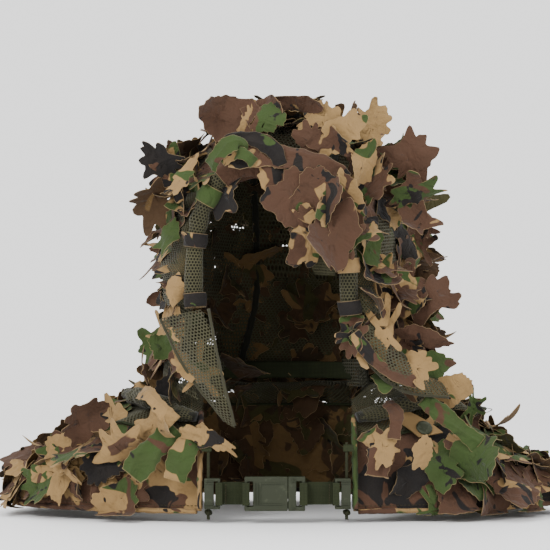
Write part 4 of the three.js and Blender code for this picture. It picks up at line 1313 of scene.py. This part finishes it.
for word, _ in SIDES:
    rounded(f"{word}_slider", f"slider_{word}", 0.6, PLASTIC)
    rounded(f"{word}_rail_loop", f"rail_anchor_{word}", 0.3, WEBBING)
    rounded(f"{word}_snap_tab", f"snap_tab_{word}", 0.3, CAMO)
    for part in ("cap", "socket", "stud"):
        rounded(f"{word}_snap_{part}", f"snap_{part}_{word}", 0.35, METAL, 3)

RAIL_TOP, RAIL_BOTTOM, RAIL_Y, KNOT_Z, STRAP_Z = -5.0, -73.0, -103.0, -66.8, -50.0
KNOT_R, RAIL_IN = 0.85, 6  # a third of the knot's half depth, and how far in from the edge the rail is


def strands(u, v):
    return 1.25 + 0.22 * np.abs(np.cos(1.5 * (2 * math.pi * u) + 60 * v))


for word, side in SIDES:
    x, cord = EDGE_X[side] - side * RAIL_IN, Bag()
    line = [[x, RAIL_Y, z] for z in (RAIL_TOP, (RAIL_TOP + RAIL_BOTTOM) / 2, RAIL_BOTTOM)]
    co, quads, *_ = grid(tube_surface(line, strands)[0], 18, 130, 0.5, True)
    cord.add(co, quads)
    t = np.linspace(0, 2 * math.pi, 60)
    across, deep = np.sin(t) + 2 * np.sin(2 * t), np.cos(t) - 2 * np.cos(2 * t)
    knot = vec(x + KNOT_R * across, RAIL_Y + KNOT_R * deep, KNOT_Z - 1.3 * np.sin(3 * t))
    surface, _ = tube_surface(knot, 1.15, (0.3, 0.2, 1), 1.0, 120)
    co, quads, *_ = grid(surface, 12, 110, 0.4, True)
    cord.add(co, quads)
    place(cord.build(f"rail_line_{word}", CORD), "cape", f"{word}_rail_cord")

rounded("buckle_socket", "buckle_body", 0.8, PLASTIC, 3)
rounded("buckle_tongue", "buckle_prongs", 0.6, PLASTIC, 3)
rounded("right_webbing", "strap_right", 0.3, WEBBING)
strap = rounded("left_webbing", "strap_left", 0.3, WEBBING)
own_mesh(strap)


def ridges(name, body, centres, size):
    """Small moulded ribs with sloping sides, each a box of the given size about its centre."""
    bag, half = Bag(), np.array(size, float) / 2
    corners = []
    for y, k in ((1, 1.0), (-0.4, 1.0), (-1, 0.55)):
        for sx, sz in ((-1, -1), (1, -1), (1, 1), (-1, 1)):
            corners.append([sx * half[0] * k, y * half[1], sz * half[2] * (0.5 + k / 2)])
    quads = np.concatenate([*bands(4, 2), [[3, 2, 1, 0], [8, 9, 10, 11]]])
    for centre in centres:
        bag.add(np.array(corners) + np.asarray(centre, float), quads)
    place(bag.build(name, PLASTIC, False), body)


FACE = -106.5  # the middle of the sliders, from front to back
grips = [(8.5 - 2.2 * k, FACE - 4.1, STRAP_Z + dz) for k in range(2) for dz in (-12, 12)]
ridges("buckle_grip", "buckle_tongue", grips, (1.1, 1.2, 4.5))
ribs = [(-27 + 2.4 * k, FACE - 4.8, STRAP_Z) for k in range(3)]
ridges("buckle_ribs", "chest_strap", ribs, (1.2, 1.2, 20))
rims = [(-11, FACE - 4.8, STRAP_Z + dz) for dz in (-9, 9)]
ridges("buckle_frame", "chest_strap", rims, (20, 1.0, 1.2))
for word, side in SIDES:
    x = EDGE_X[side] - side * RAIL_IN - side * 1.0
    grips = [(x, FACE - 4.4, STRAP_Z + dz) for dz in (-11.4, -9.2, 9.2, 11.4)]
    ridges(f"slider_grip_{word}", "chest_strap", grips, (8.5, 1.1, 0.9))


# A stitch's rings of five points: how far along it, the ring's size, and how far it stands up.
STITCH = ((-0.5, 0.3, -0.2), (-0.28, 0.9, 0.5), (0, 1.0, 0.8), (0.28, 0.9, 0.5), (0.5, 0.3, -0.2))
STITCH_ENDS = [[0, 1, 2], [0, 2, 3], [0, 3, 4], [22, 21, 20], [23, 22, 20], [24, 23, 20]]


def stitches(name, line, facing, body, pitch=3.4, length=2.3):
    """A row of raised thread stitches along the line. facing, or facing(p), points out of the cloth."""
    radius = 0.4
    at, ahead, _ = path_frames(line, max(8, int(path_frames(line, 40)[2] / pitch)))
    bag, quads = Bag(), np.concatenate([row[:, [0, 3, 2, 1]] for row in bands(5, 4)])
    turn = np.arange(5) / 5 * 2 * math.pi
    for p, t in zip(at, ahead):
        n = unit(np.asarray(facing(p) if callable(facing) else facing, float))
        s = unit(np.cross(t, n))
        n = np.cross(s, t)
        rings = []
        for along, r, up in STITCH:
            centre = p + t * along * length + n * up * radius
            rings.append(centre + radius * r * (np.cos(turn)[:, None] * s + np.sin(turn)[:, None] * n))
        bag.add(np.concatenate(rings), quads, STITCH_ENDS)
    place(bag.build(name, THREAD), body)


HEAD_MIDDLE = np.array([HOOD_X, HOOD_Y, 120])
stitches("hem_stitches", cape_line(0.955, 2.4, 200), outward, "cape")
stitches("yoke_stitches", cape_line(0.44, 3.2, 200), outward, "cape")
for word, side in SIDES:
    for edge, k in (("inner", -1), ("outer", 1)):
        line = centre_strip(np.full(50, side * (SEAM_X + 3.4 * k)), np.linspace(0.02, 0.97, 50), 2.6)
        stitches(f"crown_stitches_{word}_{edge}", line, lambda p: p - HEAD_MIDDLE, "nape")
    x = EDGE_X[side] - side * 1.5
    line = [[x - side * 20, FACE - 4.6, STRAP_Z + dz] for dz in (-8, 0, 8)]
    stitches(f"strap_tack_{word}", line, (0, -1, 0), "chest_strap", 2.2, 1.6)

# ---- Floor, light and camera ----
floor_look = Nodes("floor")
floor_look.set(floor_look.shader.inputs["Base Color"], (0.9, 0.9, 0.9, 1))
floor_look.set(floor_look.shader.inputs["Roughness"], 0.9)
bpy.ops.mesh.primitive_circle_add(vertices=64, radius=1.6, fill_type="NGON", location=(0, 0.2, -0.0765))
floor = bpy.context.object
floor.name = "floor"
floor.data.materials.append(floor_look.material)

world = bpy.data.worlds.new("world")
world.use_nodes = True
world.node_tree.nodes["Background"].inputs[0].default_value = (1.0, 1.0, 1.0, 1)
world.node_tree.nodes["Background"].inputs[1].default_value = 1.75
bpy.context.scene.world = world


def light(name, place_at, aim, size, power):
    data = bpy.data.lights.new(name, "AREA")
    data.shape, data.size, data.energy = "DISK", size, power
    obj = bpy.data.objects.new(name, data)
    obj.location = place_at
    obj.rotation_euler = (Vector(aim) - Vector(place_at)).to_track_quat("-Z", "Y").to_euler()
    bpy.context.scene.collection.objects.link(obj)


light("key", (-1.1, -1.9, 1.5), (0, 0, 0.12), 0.8, 40)
light("fill", (1.7, -1.4, 0.9), (0, 0, 0.1), 1.2, 14)
light("top", (0.2, 0.5, 2.0), (0, 0, 0.1), 1.2, 6)

CAMERA_DISTANCE, VIEW_WIDTH = 2.5, 0.506
data = bpy.data.cameras.new("camera")
data.sensor_width = 36
data.lens = 36 * CAMERA_DISTANCE / VIEW_WIDTH
camera = bpy.data.objects.new("camera", data)
camera.location = (-0.0092, -CAMERA_DISTANCE, 0.1426)
camera.rotation_euler = (math.pi / 2, 0, 0)
bpy.context.scene.collection.objects.link(camera)
bpy.context.scene.camera = camera
